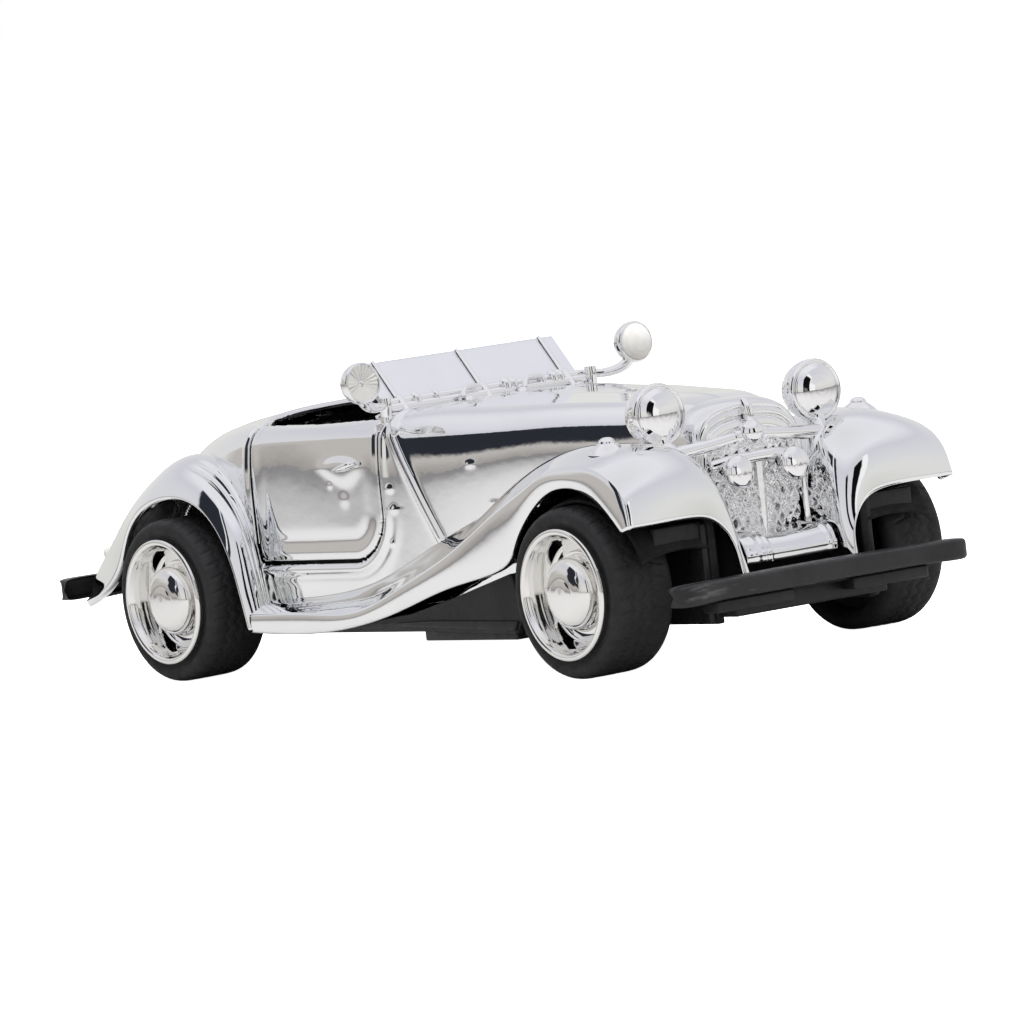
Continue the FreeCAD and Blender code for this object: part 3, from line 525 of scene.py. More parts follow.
def make_hull():
    grid = hull_grid()
    inside = (0, 0, 18)
    normal = grid_normals(grid) * outward(grid, inside)
    x, y, z = grid[..., 0], grid[..., 1], grid[..., 2]
    door = door_distance(x, z)
    door = np.where(np.abs(y) > COCKPIT_HALF - 1.0, door, 9.0)
    rise = 0.42 * ridge(door - 1.35, 0.62) * (z < 33.2)
    rise += 0.10 * ridge(door - 3.0, 0.8) * (z < 22) * np.clip((x - DOOR_REAR) / 3, 0, 1)
    rise += 0.42 * ridge(line_distance(x, z, COWL_RIB), 0.68) * (np.abs(y) > 14)
    pocket = cockpit_distance(x, y)
    top = z > 30
    rise += 0.35 * ridge(pocket - 0.9, 0.8) * top
    rise += 0.12 * ridge(y, 0.35) * (x > 0) * top
    for px, pz, r in ((-0.9, 24.6, 0.4), (-0.6, 21.9, 0.45), (13.6, 27.2, 0.4), (17.0, 22.0, 0.3),
                      (-1.6, 17.4, 0.35)):
        rise += 0.16 * ridge(np.hypot(x - px, z - pz), r) * (np.abs(y) > 12)
    moved = grid + normal * rise[..., None]
    moved = snap_to(moved, door_distance, (0, 2), SHUT_GAP, door_corner(x,
                                                                        z) & (np.abs(y) > COCKPIT_HALF - 1.0))
    moved = snap_to(moved, cockpit_distance, (0, 1), 0.0, top)
    # a cell is dropped where its middle lies in an opening
    mid = (moved[:-1, :-1] + moved[1:, :-1] + moved[:-1, 1:] + moved[1:, 1:]) / 4
    mx, my, mz = mid[..., 0], mid[..., 1], mid[..., 2]
    drop = (np.abs(my) > COCKPIT_HALF - 1.0) & (door_distance(mx, mz) < SHUT_GAP)
    drop |= (mz > 30) & (cockpit_distance(mx, my) < 0)
    keep = np.zeros(grid.shape[:2], bool)
    keep[:-1, :-1] = ~drop
    well = np.hypot(mx - REAR_X, mz - AXLE_Z) < 13.6
    keep[:-1, :-1] &= ~(well & (np.abs(my) > 14.0))
    sheet_object("body_hull", moved, inside, CHROME, 0.9, keep, stands_for=["body_shell"])
    jamb = door_distance(mx, mz)
    # behind the hinge line the door's edge swings inwards, so the jamb stays clear of it
    inner_edge = np.where(mx < DOOR_REAR + 3.0, 1.0, -1.6)
    keep[:-1, :-1] = (np.abs(my) > COCKPIT_HALF - 0.6) & (jamb > inner_edge) & (jamb < 1.6) & (mz < 31.5)
    # the jamb stands for the black interior behind the shut lines; its darker black is painted shade in the gap
    sheet_object("door_jamb", grid - normal * 1.3, inside, SHADED_BLACK, 0.3, keep, slot="black_interior")
    return grid, normal


def door_corner(x, z):
    return (z < DOOR_SILL + DOOR_CORNER + 0.5) & ((x > DOOR_FRONT - DOOR_CORNER - 0.5) | (x < DOOR_REAR + 2.0))


def snap_to(grid, distance, axes, level, where):
    """Moves grid points that lie close to an outline onto it, within the surface's own plane."""
    a, b = axes
    p, q = grid[..., a], grid[..., b]
    step = 0.01
    d = distance(p, q) - level
    ga = (distance(p + step, q) - distance(p - step, q)) / (2 * step)
    gb = (distance(p, q + step) - distance(p, q - step)) / (2 * step)
    near = where & (np.abs(d) < 0.09)
    out = grid.copy()
    shift_a, shift_b = -d * ga * near, -d * gb * near
    # follow the surface: read its slope from the grid
    du, dv = np.gradient(grid, axis=0), np.gradient(grid, axis=1)
    det = du[..., a] * dv[..., b] - du[..., b] * dv[..., a]
    det = np.where(np.abs(det) < 1e-6, 1e9, det)
    s = (shift_a * dv[..., b] - shift_b * dv[..., a]) / det
    t = (du[..., a] * shift_b - du[..., b] * shift_a) / det
    s, t = np.clip(s, -1, 1), np.clip(t, -1, 1)
    return out + du * s[..., None] + dv * t[..., None]


def make_doors(grid, normal):
    for side, body in ((1, "left_door"), (-1, "right_door")):
        name = "left" if side > 0 else "right"
        half = grid.shape[1] // 2 + 1
        part = grid[:, :half]
        n = normal[:, :half]
        x, y, z = part[..., 0], part[..., 1], part[..., 2]
        inner = -door_distance(x, z)
        lift = 0.10 * ridge(inner - 0.9, 0.6) - 0.14 * ridge(inner - 2.6, 0.9) * np.clip((30.5 - z) / 9.0, 0, 1)
        # the swelling round the handle, and a few moulding pimples
        low = np.clip(27.6 - z, 0, 3)
        round_it = np.hypot((x + 11.0 - 0.5 * low) / (3.7 - 0.7 * low),
                            (z - 27.6) / np.where(z > 27.6, 1.25, 1.9))
        lift += 0.34 / (1 + np.exp(np.clip((round_it - 1) / 0.16, -30, 30)))
        for px, pz, r in ((-10.6, 23.4, 0.75), (-26.0, 17.6, 0.5), (-13.4, 25.4, 0.35)):
            lift += 0.12 * ridge(np.hypot(x - px, z - pz), r)
        skin = part + n * lift[..., None]
        skin = snap_to(skin, door_distance, (0, 2), 0.0, door_corner(x, z) & (y > COCKPIT_HALF - 1.0))
        mid = (skin[:-1, :-1] + skin[1:, :-1] + skin[:-1, 1:] + skin[1:, 1:]) / 4
        mx, my, mz = mid[..., 0], mid[..., 1], mid[..., 2]
        keep = np.zeros(part.shape[:2], bool)
        keep[:-1, :-1] = (door_distance(mx, mz) < 0) & (my > COCKPIT_HALF)
        keep[:-1, :-1] &= ~((mz > 30) & (cockpit_distance(mx, my) < 0))
        sheet_object("door_skin_" + name, skin, (0, 0, 18), CHROME, 0.9, keep, mirror=side < 0, body=body,
                     stands_for=["door_" + name])


# ------------------------------------------------------------------ fenders
# Front fender rows, back to front. The columns are inner foot, inner wall, inner shoulder, crown, outer
# shoulder, outer crease, side and lip.
FRONT_FENDER = [
    [(-28.6, 19.9, 10.2), (-28.6, 20.7, 10.2), (-28.6, 21.6, 10.1), (-28.6, 22.6, 9.9), (-28.6, 23.8, 9.4),
     (-28.6, 25.0, 8.8), (-28.6, 25.1, 7.7), (-28.6, 25.0, 6.6)],
    [(-15.0, 19.9, 10.9), (-15.0, 20.7, 10.8), (-15.0, 21.5, 10.5), (-15.0, 22.4, 10.2), (-15.0, 23.8, 9.5),
     (-15.0, 25.0, 8.8), (-15.0, 25.1, 7.6), (-15.0, 25.0, 6.4)],
    [(-5.0, 19.5, 12.7), (-5.0, 20.4, 12.4), (-5.0, 21.4, 11.7), (-5.0, 22.5, 10.9), (-5.0, 23.9, 9.9),
     (-5.0, 25.0, 8.9), (-5.0, 25.1, 8.0), (-5.0, 25.0, 7.2)],
    [(7.0, 17.2, 17.4), (7.0, 18.8, 17.1), (7.0, 20.2, 16.2), (7.0, 21.8, 15.0), (7.0, 23.5, 13.6),
     (7.0, 25.05, 12.4), (7.0, 25.2, 11.0), (7.0, 25.0, 9.6)],
    [(18.0, 14.4, 21.4), (18.0, 16.4, 21.4), (18.0, 18.6, 20.9), (18.0, 20.6, 19.9), (18.0, 23.0, 18.2),
     (18.0, 25.1, 16.5), (18.0, 25.3, 14.4), (18.4, 25.1, 12.4)],
    [(27.5, 12.4, 23.8), (27.5, 14.8, 24.6), (27.5, 17.3, 25.1), (27.5, 20.0, 24.9), (27.8, 22.9, 23.3),
     (28.2, 25.2, 21.3), (28.8, 25.4, 18.2), (29.8, 25.2, 15.0)],
    [(35.5, 11.0, 24.6), (35.2, 13.4, 25.8), (35.0, 16.6, 27.3), (34.9, 19.8, 27.7), (34.8, 22.8, 26.4),
     (34.6, 25.3, 24.1), (34.0, 25.6, 21.6), (33.4, 25.4, 18.6)],
    [(42.6, 9.4, 24.8), (42.4, 12.0, 25.8), (42.2, 15.6, 28.3), (42.0, 19.2, 29.2), (41.6, 22.8, 28.2),
     (41.0, 25.6, 26.6), (40.0, 25.9, 25.0), (39.2, 25.6, 23.2)],
    [(49.4, 8.2, 21.0), (48.9, 9.8, 25.0), (48.6, 14.2, 28.3), (48.6, 18.8, 29.3), (48.2, 23.0, 28.4),
     (47.9, 26.0, 27.2), (46.2, 26.3, 25.6), (45.0, 25.9, 24.6)],
    [(52.6, 8.9, 10.8), (53.6, 8.6, 20.0), (54.2, 12.2, 26.8), (54.6, 18.4, 28.0), (54.5, 23.2, 27.3),
     (54.0, 26.5, 26.2), (51.8, 26.7, 24.2), (50.6, 26.2, 23.3)],
    [(56.4, 8.2, 10.5), (57.2, 8.6, 16.5), (57.8, 12.0, 22.9), (58.4, 18.2, 24.4), (58.3, 23.4, 24.2),
     (57.8, 26.8, 23.4), (55.4, 27.1, 21.6), (54.4, 26.6, 21.0)],
    [(59.6, 8.8, 10.4), (59.0, 9.6, 14.5), (58.7, 12.4, 18.1), (59.2, 16.5, 19.2), (59.5, 22.0, 19.3),
     (59.1, 27.0, 19.3), (57.8, 27.2, 18.9), (57.0, 26.8, 18.6)],
]
# Rear fender rows, from its leading edge over the wheel to the tail. The columns are inner foot, inner
# shoulder, crown, outer shoulder and lip.
REAR_FENDER = [
    [(-31.0, 18.6, 6.9), (-29.3, 20.6, 6.9), (-28.0, 22.4, 6.9), (-27.6, 24.0, 6.8), (-28.6, 25.2, 6.8)],
    [(-32.6, 18.6, 15.0), (-30.9, 20.4, 15.0), (-29.7, 22.2, 14.8), (-29.5, 23.9, 14.4), (-30.3, 25.2, 13.6)],
    [(-34.6, 18.2, 21.6), (-32.8, 20.2, 21.6), (-31.7, 22.0, 21.2), (-31.6, 23.9, 20.2), (-32.6, 25.1, 18.6)],
    [(-39.0, 17.4, 27.6), (-37.6, 19.6, 27.6), (-36.6, 21.8, 27.0), (-36.3, 23.8, 25.2), (-36.4, 25.0, 22.8)],
    [(-45.8, 16.0, 30.0), (-45.4, 18.6, 30.2), (-45.0, 21.2, 29.6), (-44.2, 23.6, 27.8), (-43.2, 25.0, 25.2)],
    [(-52.2, 14.0, 28.8), (-52.2, 17.4, 28.8), (-52.0, 20.4, 28.0), (-51.4, 23.2, 26.2), (-50.4, 25.0, 24.2)],
    [(-58.8, 11.4, 25.2), (-58.9, 15.6, 25.2), (-58.9, 19.2, 24.4), (-58.3, 22.7, 22.4), (-55.6, 24.9, 20.4)],
    [(-65.0, 8.4, 20.4), (-65.3, 13.0, 20.4), (-65.3, 17.6, 19.6), (-64.6, 21.8, 17.8), (-59.0, 24.6, 15.6)],
    [(-70.6, 5.6, 15.4), (-71.1, 10.4, 15.4), (-71.2, 15.6, 14.9), (-70.6, 20.4, 13.9), (-65.2, 23.6, 12.0)],
    [(-74.0, 3.0, 11.2), (-74.4, 8.0, 11.2), (-74.5, 13.4, 11.2), (-74.2, 18.4, 11.0), (-71.6, 21.8, 10.8)],
]


def with_hem(grid, inside, depth=0.7):
    """Adds a small turned-in hem along the lip, the grid's last column."""
    side = outward(grid, inside)
    normal = grid_normals(grid)[:, -1] * side
    along = grid[:, -1] - grid[:, -2]
    along /= np.linalg.norm(along, axis=1, keepdims=True)
    hem = []
    for turn in (30, 60, 90):
        a = math.radians(turn)
        hem.append(grid[:, -1] + 0.35 * (along * math.sin(a) - normal * (1 - math.cos(a))))
    hem.append(hem[-1] - normal * depth)
    return np.concatenate([grid, np.stack(hem, axis=1)], axis=1)


def make_fenders():
    front_inside, rear_inside = (15, 19, 0), (-47, 16, 8)
    front = with_hem(loft(FRONT_FENDER, 220, [(0, 5, 60), (5, 7, 14)], soft=2), front_inside)
    rear = loft(REAR_FENDER, 200, [(0, 4, 70)], soft=1)
    normal = grid_normals(rear) * outward(rear, rear_inside)
    # three flutes run down the leading edge to the running board
    share = np.linspace(0, 1, rear.shape[1])[None, :]
    reach = np.linspace(0, 1, rear.shape[0])[:, None]
    fade = np.clip((0.42 - reach) / 0.08, 0, 1) * np.clip(reach / 0.02, 0, 1)
    flutes = sum(ridge(share - at - 0.10 * reach, 0.020) for at in (0.36, 0.46, 0.56))
    rear = rear + normal * (0.42 * flutes * fade)[..., None]
    rear = with_hem(rear, rear_inside)
    for mirror, name in SIDES:
        sheet_object("front_fender_" + name, front, front_inside, CHROME, 0.8, mirror=mirror, lining=BLACK)
        sheet_object("rear_fender_" + name, rear, rear_inside, CHROME, 0.8, mirror=mirror, lining=BLACK)


# ------------------------------------------------------------------ wheels
def tread_depth(angle, y):
    """How deep the tyre's pattern is cut at an angle and a place across the tread."""
    across = (y - 23.1) / 3.6
    zig = np.abs(((angle * 36 / (2 * math.pi) + 0.5 * np.abs(across)) % 1.0) - 0.5) * 2
    blocks = np.clip((zig - 0.80) / 0.12, 0, 1) * np.clip((np.abs(across) - 0.25) / 0.1, 0, 1)
    wave = 0.10 * np.sin(angle * 36)
    rings = sum(ridge(across - at - wave, 0.055) for at in (-0.45, 0.0, 0.45))
    inside = np.clip((1.12 - np.abs(across)) / 0.12, 0, 1)
    return 0.15 * np.maximum(blocks, np.clip(rings, 0, 1)) * inside


TYRE = [(19.4, 8.2), (18.4, 8.5), (17.9, 9.2), (17.8, 9.9), (18.0, 10.5), (18.6, 10.95), (19.6, 11.05),
        (22.8, 11.1),
        (25.6, 11.1), (26.4, 11.0), (27.0, 10.7), (27.35, 10.1), (27.3, 9.4), (27.1, 9.0), (26.9, 8.6),
        (26.9, 8.2)]
RIM = [(26.7, 8.2), (27.1, 8.45), (27.6, 8.6), (27.95, 8.5), (28.05, 8.25), (28.05, 7.95), (27.9, 7.75),
       (27.6, 7.65),
       (27.45, 7.55), (26.9, 7.35), (26.0, 7.1), (25.0, 6.9), (24.4, 6.75), (24.2, 6.5)]
CAP = [(24.4, 4.9), (24.9, 4.95), (25.3, 4.85), (25.6, 4.75), (26.4, 4.65), (26.9, 4.4), (27.3, 4.0),
       (27.65, 3.4), (27.85, 2.7),
       (27.93, 2.25), (27.9, 2.1), (27.98, 1.95), (28.1, 1.2), (28.15, 0.0)]
WHEEL_BACK = [(19.6, 8.2), (19.5, 2.0), (19.9, 0.9), (23.2, 0.9), (23.4, 7.0), (24.2, 6.9)]
TREAD_FROM = 10.7     # the tread's pattern lies outside this radius


def make_wheel(axle, x, mirror, side):
    name, body = axle + "_" + side, axle + "_wheels"
    centre, axis = (x, 0, AXLE_Z), (0, 1, 0)
    grid = turned_grid(TYRE, centre, axis, 540, steps=64, soft=2)
    offset = grid - np.array(centre)
    radius = np.hypot(offset[..., 0], offset[..., 2])
    angle = np.arctan2(offset[..., 2], offset[..., 0])
    cut = tread_depth(angle, offset[..., 1]) * (radius > TREAD_FROM)
    scale = 1 - cut / np.maximum(radius, 1)
    grid[..., 0], grid[..., 2] = x + offset[..., 0] * scale, AXLE_Z + offset[..., 2] * scale
    mesh_object("tyre_" + name, grid.reshape(-1, 3), grid_faces(*grid.shape[:2], wrap_v=True), RUBBER, body,
                mirror=mirror, stands_for=[axle + "_tyre_" + side])
    for part, profile, sides, soft in (("rim", RIM, 144, 2), ("hub_cap", CAP, 120, 1)):
        turned(part + "_" + name, profile, centre, axis, WHEEL_PLATE, sides, 60, soft, mirror, body=body,
               stands_for=[axle + "_" + part + "_" + side])
    # the back of the wheel is in the darker black: painted shade inside the wheel
    turned("wheel_back_" + name, WHEEL_BACK, centre, axis, SHADED_BLACK, 72, 30, 1, mirror, body=body, slot="tyre")
    wheel_disc("wheel_disc_" + name, centre, mirror, body)


def wheel_disc(name, centre, mirror, body):
    """The plated disc between barrel and hub cap, with four arc windows through it."""
    sides, rings = 180, 12
    angle = np.arange(sides) * 2 * math.pi / sides
    radius = np.linspace(4.4, 6.9, rings)
    dish = 24.3 + 0.5 * np.cos((radius - 5.2) * 1.2)
    grid = np.zeros((rings, sides, 3))
    grid[..., 0] = centre[0] + radius[:, None] * np.cos(angle)
    grid[..., 1] = dish[:, None]
    grid[..., 2] = centre[2] + radius[:, None] * np.sin(angle)
    turn = (angle / (math.pi / 2)) % 1.0
    window = (np.abs(turn - 0.5) < 0.17)[None, :] & ((radius > 5.1) & (radius < 6.3))[:, None]
    faces = grid_faces(rings, sides, wrap_v=True)[~window[:-1, :].reshape(-1)]
    piece = mesh_object(name, grid.reshape(-1, 3), faces[:, ::-1], WHEEL_PLATE, body, mirror=mirror)
    wall = piece.modifiers.new("wall", "SOLIDIFY")
    wall.thickness = 0.0006


def make_wheels():
    for axle, x in (("front", FRONT_X), ("rear", REAR_X)):
        for mirror, side in SIDES:
            make_wheel(axle, x, mirror, side)


# ------------------------------------------------------------------ front: radiator, apron and lamps
def smooth_noise(shape, cell, seed):
    """A random height map, smooth over a given number of grid steps."""
    rng = np.random.default_rng(seed)
    rows, columns = shape[0] // cell + 3, shape[1] // cell + 3
    coarse = rng.random((rows, columns))
    u, v = np.arange(shape[0]) / cell, np.arange(shape[1]) / cell
    i, j = u.astype(int), v.astype(int)
    fu, fv = (u - i)[:, None], (v - j)[None, :]
    fu, fv = fu * fu * (3 - 2 * fu), fv * fv * (3 - 2 * fv)
    a, b = coarse[np.ix_(i, j)], coarse[np.ix_(i + 1, j)]
    c, d = coarse[np.ix_(i, j + 1)], coarse[np.ix_(i + 1, j + 1)]
    return (a * (1 - fu) + b * fu) * (1 - fv) + (c * (1 - fu) + d * fu) * fv


def make_grille():
    """The V-fronted grille: a raised diagonal mesh with dark holes and a smooth middle strip."""
    y = np.linspace(-8.4, 8.4, 300)[None, :]
    z = np.linspace(14.2, 30.2, 300)[:, None]
    y, z = np.broadcast_arrays(y, z)
    top = 30.2 - 2.6 * np.clip((np.abs(y) - 4.4) / 4.0, 0, 1) ** 2
    z = 14.2 + (z - 14.2) * (top - 14.2) / (30.2 - 14.2)
    plan = 52.7 - 0.24 * np.abs(y) - 0.05 * np.clip(26 - z, 0, 12)
    plan -= (0.55 - 0.05 * np.abs(y)) * np.clip(z - 26.4, 0, 4)
    a, b = (y + 0.62 * z), (y - 0.62 * z)
    pitch = 1.5
    wires = np.maximum(ridge((a / pitch + 0.5) % 1.0 - 0.5, 0.22), ridge((b / pitch + 0.5) % 1.0 - 0.5, 0.22))
    jumble = smooth_noise(y.shape, 11, 3) - 0.5
    grit = smooth_noise(y.shape, 5, 5) - 0.5
    relief = 0.42 * wires + 0.50 * jumble + 0.12 * grit
    gaps = 1 - wires
    spot = smooth_noise(y.shape, 16, 11)
    field = ridge(np.abs(y) - 4.4, 1.9) * ridge(z - 18.8, 3.0)
    relief -= 3.4 * np.clip(gaps - 0.3, 0, 1) * field * np.clip(spot * 2.4 - 0.9, 0, 1)
    strip = np.clip((1.15 - 0.05 * (26 - z) - np.abs(y)) / 0.35, 0, 1) * np.clip((27.0 - z) / 0.5, 0, 1)
    relief = relief * (1 - strip) + 0.75 * strip
    edge = np.clip((8.4 - np.abs(y)) / 0.9, 0, 1)
    x = plan + relief * edge - 0.6 * (1 - edge)
    grid = np.stack([x, y, z], axis=-1)
    sheet_object("grille_mesh", grid, (40, 0, 22), GRILLE_PLATE, 0.5, stands_for=["grille"])
    # the surround: legs and a round-shouldered crown with a raised cap behind it
    arch = [(50.7, -8.5, 14.6), (50.9, -8.6, 20.0), (50.9, -8.5, 25.0), (50.8, -7.9, 28.4), (50.8, -6.3, 30.7),
            (50.9, -3.4, 31.7), (51.0, 0, 32.0)]
    arch += [(x, -y, z) for x, y, z in arch[-2::-1]]
    pipe("grille_surround", arch, 0.42, TRIM, 18, 120)
    rows = []
    for x, lift in ((46.4, -0.4), (46.7, 0.25), (47.9, 0.45), (49.6, 0.35), (50.6, 0.0), (51.1, -0.6),
                    (51.2, -1.5),
                    (51.0, -1.75), (51.3, -2.0), (51.5, -2.5), (51.5, -3.1), (51.2, -3.4), (50.6, -3.6)):
        section = [(8.6, 24.0), (8.8, 27.4), (8.0, 30.1), (6.2, 31.6), (3.6, 32.4), (0.0, 32.6)]
        row = []
        for y, z in section:
            fall = 0.035 * max(0.0, x - 46.6) ** 1.6
            scale = 1 + 0.04 * lift
            row.append((x, y * scale, z + lift - fall))
        row += [(x, -y, z) for x, y, z in row[-2::-1]]
        rows.append(row)
    cap = loft(rows, 160, [(0, 10, 100)], 0)
    sheet_object("radiator_cap_shell", cap, (46, 0, 25), CHROME, 0.4, slot="plated_trim")
    pipe("nose_stub", [(51.6, 0, 28.6), (51.9, 0, 30.2), (51.6, 0, 31.6), (50.9, 0, 32.6)],
         [0.55, 0.62, 0.7, 0.5], TRIM, 24, 40)
    pipe("grille_rail", [(52.0, -7.4, 24.7), (52.9, -3.6, 25.2), (53.1, 0, 25.3), (52.9, 3.6, 25.2),
                         (52.0, 7.4, 24.7)],
         0.8, TRIM, 18, 60)


def make_apron():
    rows = []
    for y in (-8.3, -7.6, -6.0, -3.0, 0.0, 3.0, 6.0, 7.6, 8.3):
        t = 1 - (abs(y) / 8.3) ** 2
        dip, fy = 0.5 * t, y * 0.9
        rows.append([(51.6, y, 16.1 - dip), (54.4, y, 15.9 - dip), (56.0 + 0.6 * t, fy, 15.6 - dip),
                     (56.8 + 0.6 * t, fy, 15.0 - dip * 0.8), (57.3 + 0.6 * t, fy, 14.0 - dip * 0.3),
                     (57.6 + 0.6 * t, fy, 12.9), (57.6 + 0.6 * t, fy, 12.1)])
    grid = loft(rows, 160, [(0, 6, 50)], 2)
    y = grid[..., 1]
    normal = grid_normals(grid) * outward(grid, (52, 0, 11))
    lift = 0.28 * (ridge(y + 3.9, 0.25) + ridge(y + 4.7, 0.25) + ridge(y + 6.0, 0.6)) + 0.2 * ridge(y - 6.2,
                                                                                                    0.35)
    lift += 0.12 * ridge(grid[..., 2] - 13.2, 0.25)
    grid = grid + normal * lift[..., None]
    sheet_object("front_apron_skin", grid, (52, 0, 11), CHROME, 0.5, stands_for=["front_apron"])


HEADLAMP = [(-0.4, 0.0), (-0.35, 0.9), (-0.2, 1.9), (-0.1, 2.9), (-0.1, 3.45), (0.18, 3.6), (0.3, 3.78),
            (0.22, 3.98), (-0.05, 4.12), (-0.5, 4.12), (-0.7, 3.98), (-1.0, 4.0), (-1.9, 3.86), (-3.0, 3.4),
            (-4.1, 2.5),
            (-4.9, 1.3), (-5.2, 0.5), (-5.3, 0.0)]
LENS = [(0.0, 3.56), (0.2, 3.4), (0.62, 2.8), (0.98, 2.0), (1.2, 1.1), (1.28, 0.4), (1.29, 0.0)]


def make_headlamps():
    for mirror, name in SIDES:
        centre = np.array((50.1, 13.0, 32.3))
        axis = (0.998, 0.0, 0.03)
        grid = turned_grid(HEADLAMP, centre, axis, 144, 110, 1)
        angle = np.arange(144) * 2 * math.pi / 144
        along = (grid - centre) @ np.array(axis)
        teeth = 0.10 * (np.cos(angle * 36) > 0)[None, :] * ridge(along + 1.15, 0.35) * (along < -0.5)
        away = grid - centre - along[..., None] * np.array(axis)
        grid = grid + away / np.maximum(np.linalg.norm(away, axis=-1, keepdims=True), 1e-6) * teeth[..., None]
        ring_object("headlamp_pod_" + name, grid, TRIM, mirror=mirror, stands_for=["headlamp_shell_" + name])
        turned("headlamp_dome_" + name, LENS, centre, axis, TRIM, 120, 60, 1, mirror, slot="plated_lens",
               stands_for=["headlamp_lens_" + name])
        pipe("headlamp_stalk_" + name, [(49.0, 12.9, 29.6), (49.3, 12.8, 28.2), (50.2, 12.2, 26.4),
                                        (51.4, 11.4, 23.4),
                                        (52.4, 10.8, 19.0)],
             [1.5, 1.45, 1.9, 2.0, 0.6], CHROME, 40, 60, mirror)
        ball = [(0.4, 0.0), (0.4, 1.4), (0.35, 2.0), (0.1, 2.2), (-0.4, 2.22), (-1.2, 2.0), (-2.0, 1.4),
                (-2.8, 0.8), (-3.4, 0.6),
                (-3.5, 0.0)]
        turned("fog_lamp_pod_" + name, ball, (54.6, 4.6, 23.7), (0.99, 0.0, 0.1), TRIM, 72, 60, 1, mirror,
               stands_for=["fog_lamp_" + name])
        turned("fog_lamp_dome_" + name, [(0.3, 2.02), (0.5, 1.85), (0.78, 1.3), (0.95, 0.6), (1.0, 0.0)],
               (54.6, 4.6, 23.7), (0.99, 0.0, 0.1), TRIM, 72, 30, 1, mirror, slot="plated_lens",
               stands_for=["fog_lens_" + name])
        marker = [(-0.6, 2.6), (-0.1, 2.2), (0.35, 1.7), (0.62, 1.25), (0.75, 1.1), (0.9, 1.12), (1.2, 0.9),
                  (1.4, 0.5),
                  (1.45, 0.0)]
        turned("marker_stud_" + name, marker, (48.6, 20.9, 29.0), (0.05, 0.03, 1.0), TRIM, 48, 48, 2, mirror,
               slot="plated_lens", stands_for=["marker_lamp_" + name])
        bar = [(50.9, 12.2, 27.0), (51.1, 8.0, 27.3), (51.2, 4.0, 27.7), (51.2, 1.2, 28.0)]
        pipe("lamp_bar_" + name, bar, 0.92, TRIM, 24, 40, mirror)
        pipe("lamp_bar_collar_" + name, [(51.2, 2.5, 27.85), (51.2, 1.4, 27.97)], 1.15, TRIM, 24, 8, mirror)
    ball = [(1.85 * math.sin(math.radians(a)), 1.85 * math.cos(math.radians(a))) for a in range(-90, 91, 10)]
    turned("lamp_bar_ball", ball, (51.7, 0, 28.3), (1, 0, 0), TRIM, 64, 50, 0,
           stands_for=["headlamp_bar"])


# ------------------------------------------------------------------ windshield and spot lamps
SCREEN_FOOT = np.array((-4.5, 0.0, 35.2))
SCREEN_LEAN = math.radians(42)
UP_SCREEN = np.array((-math.sin(SCREEN_LEAN), 0.0, math.cos(SCREEN_LEAN)))
OUT_SCREEN = np.array((math.cos(SCREEN_LEAN), 0.0, math.sin(SCREEN_LEAN)))


def on_screen(y, up, out):
    return SCREEN_FOOT + np.array((0.0, y, 0.0)) + up * UP_SCREEN + out * OUT_SCREEN


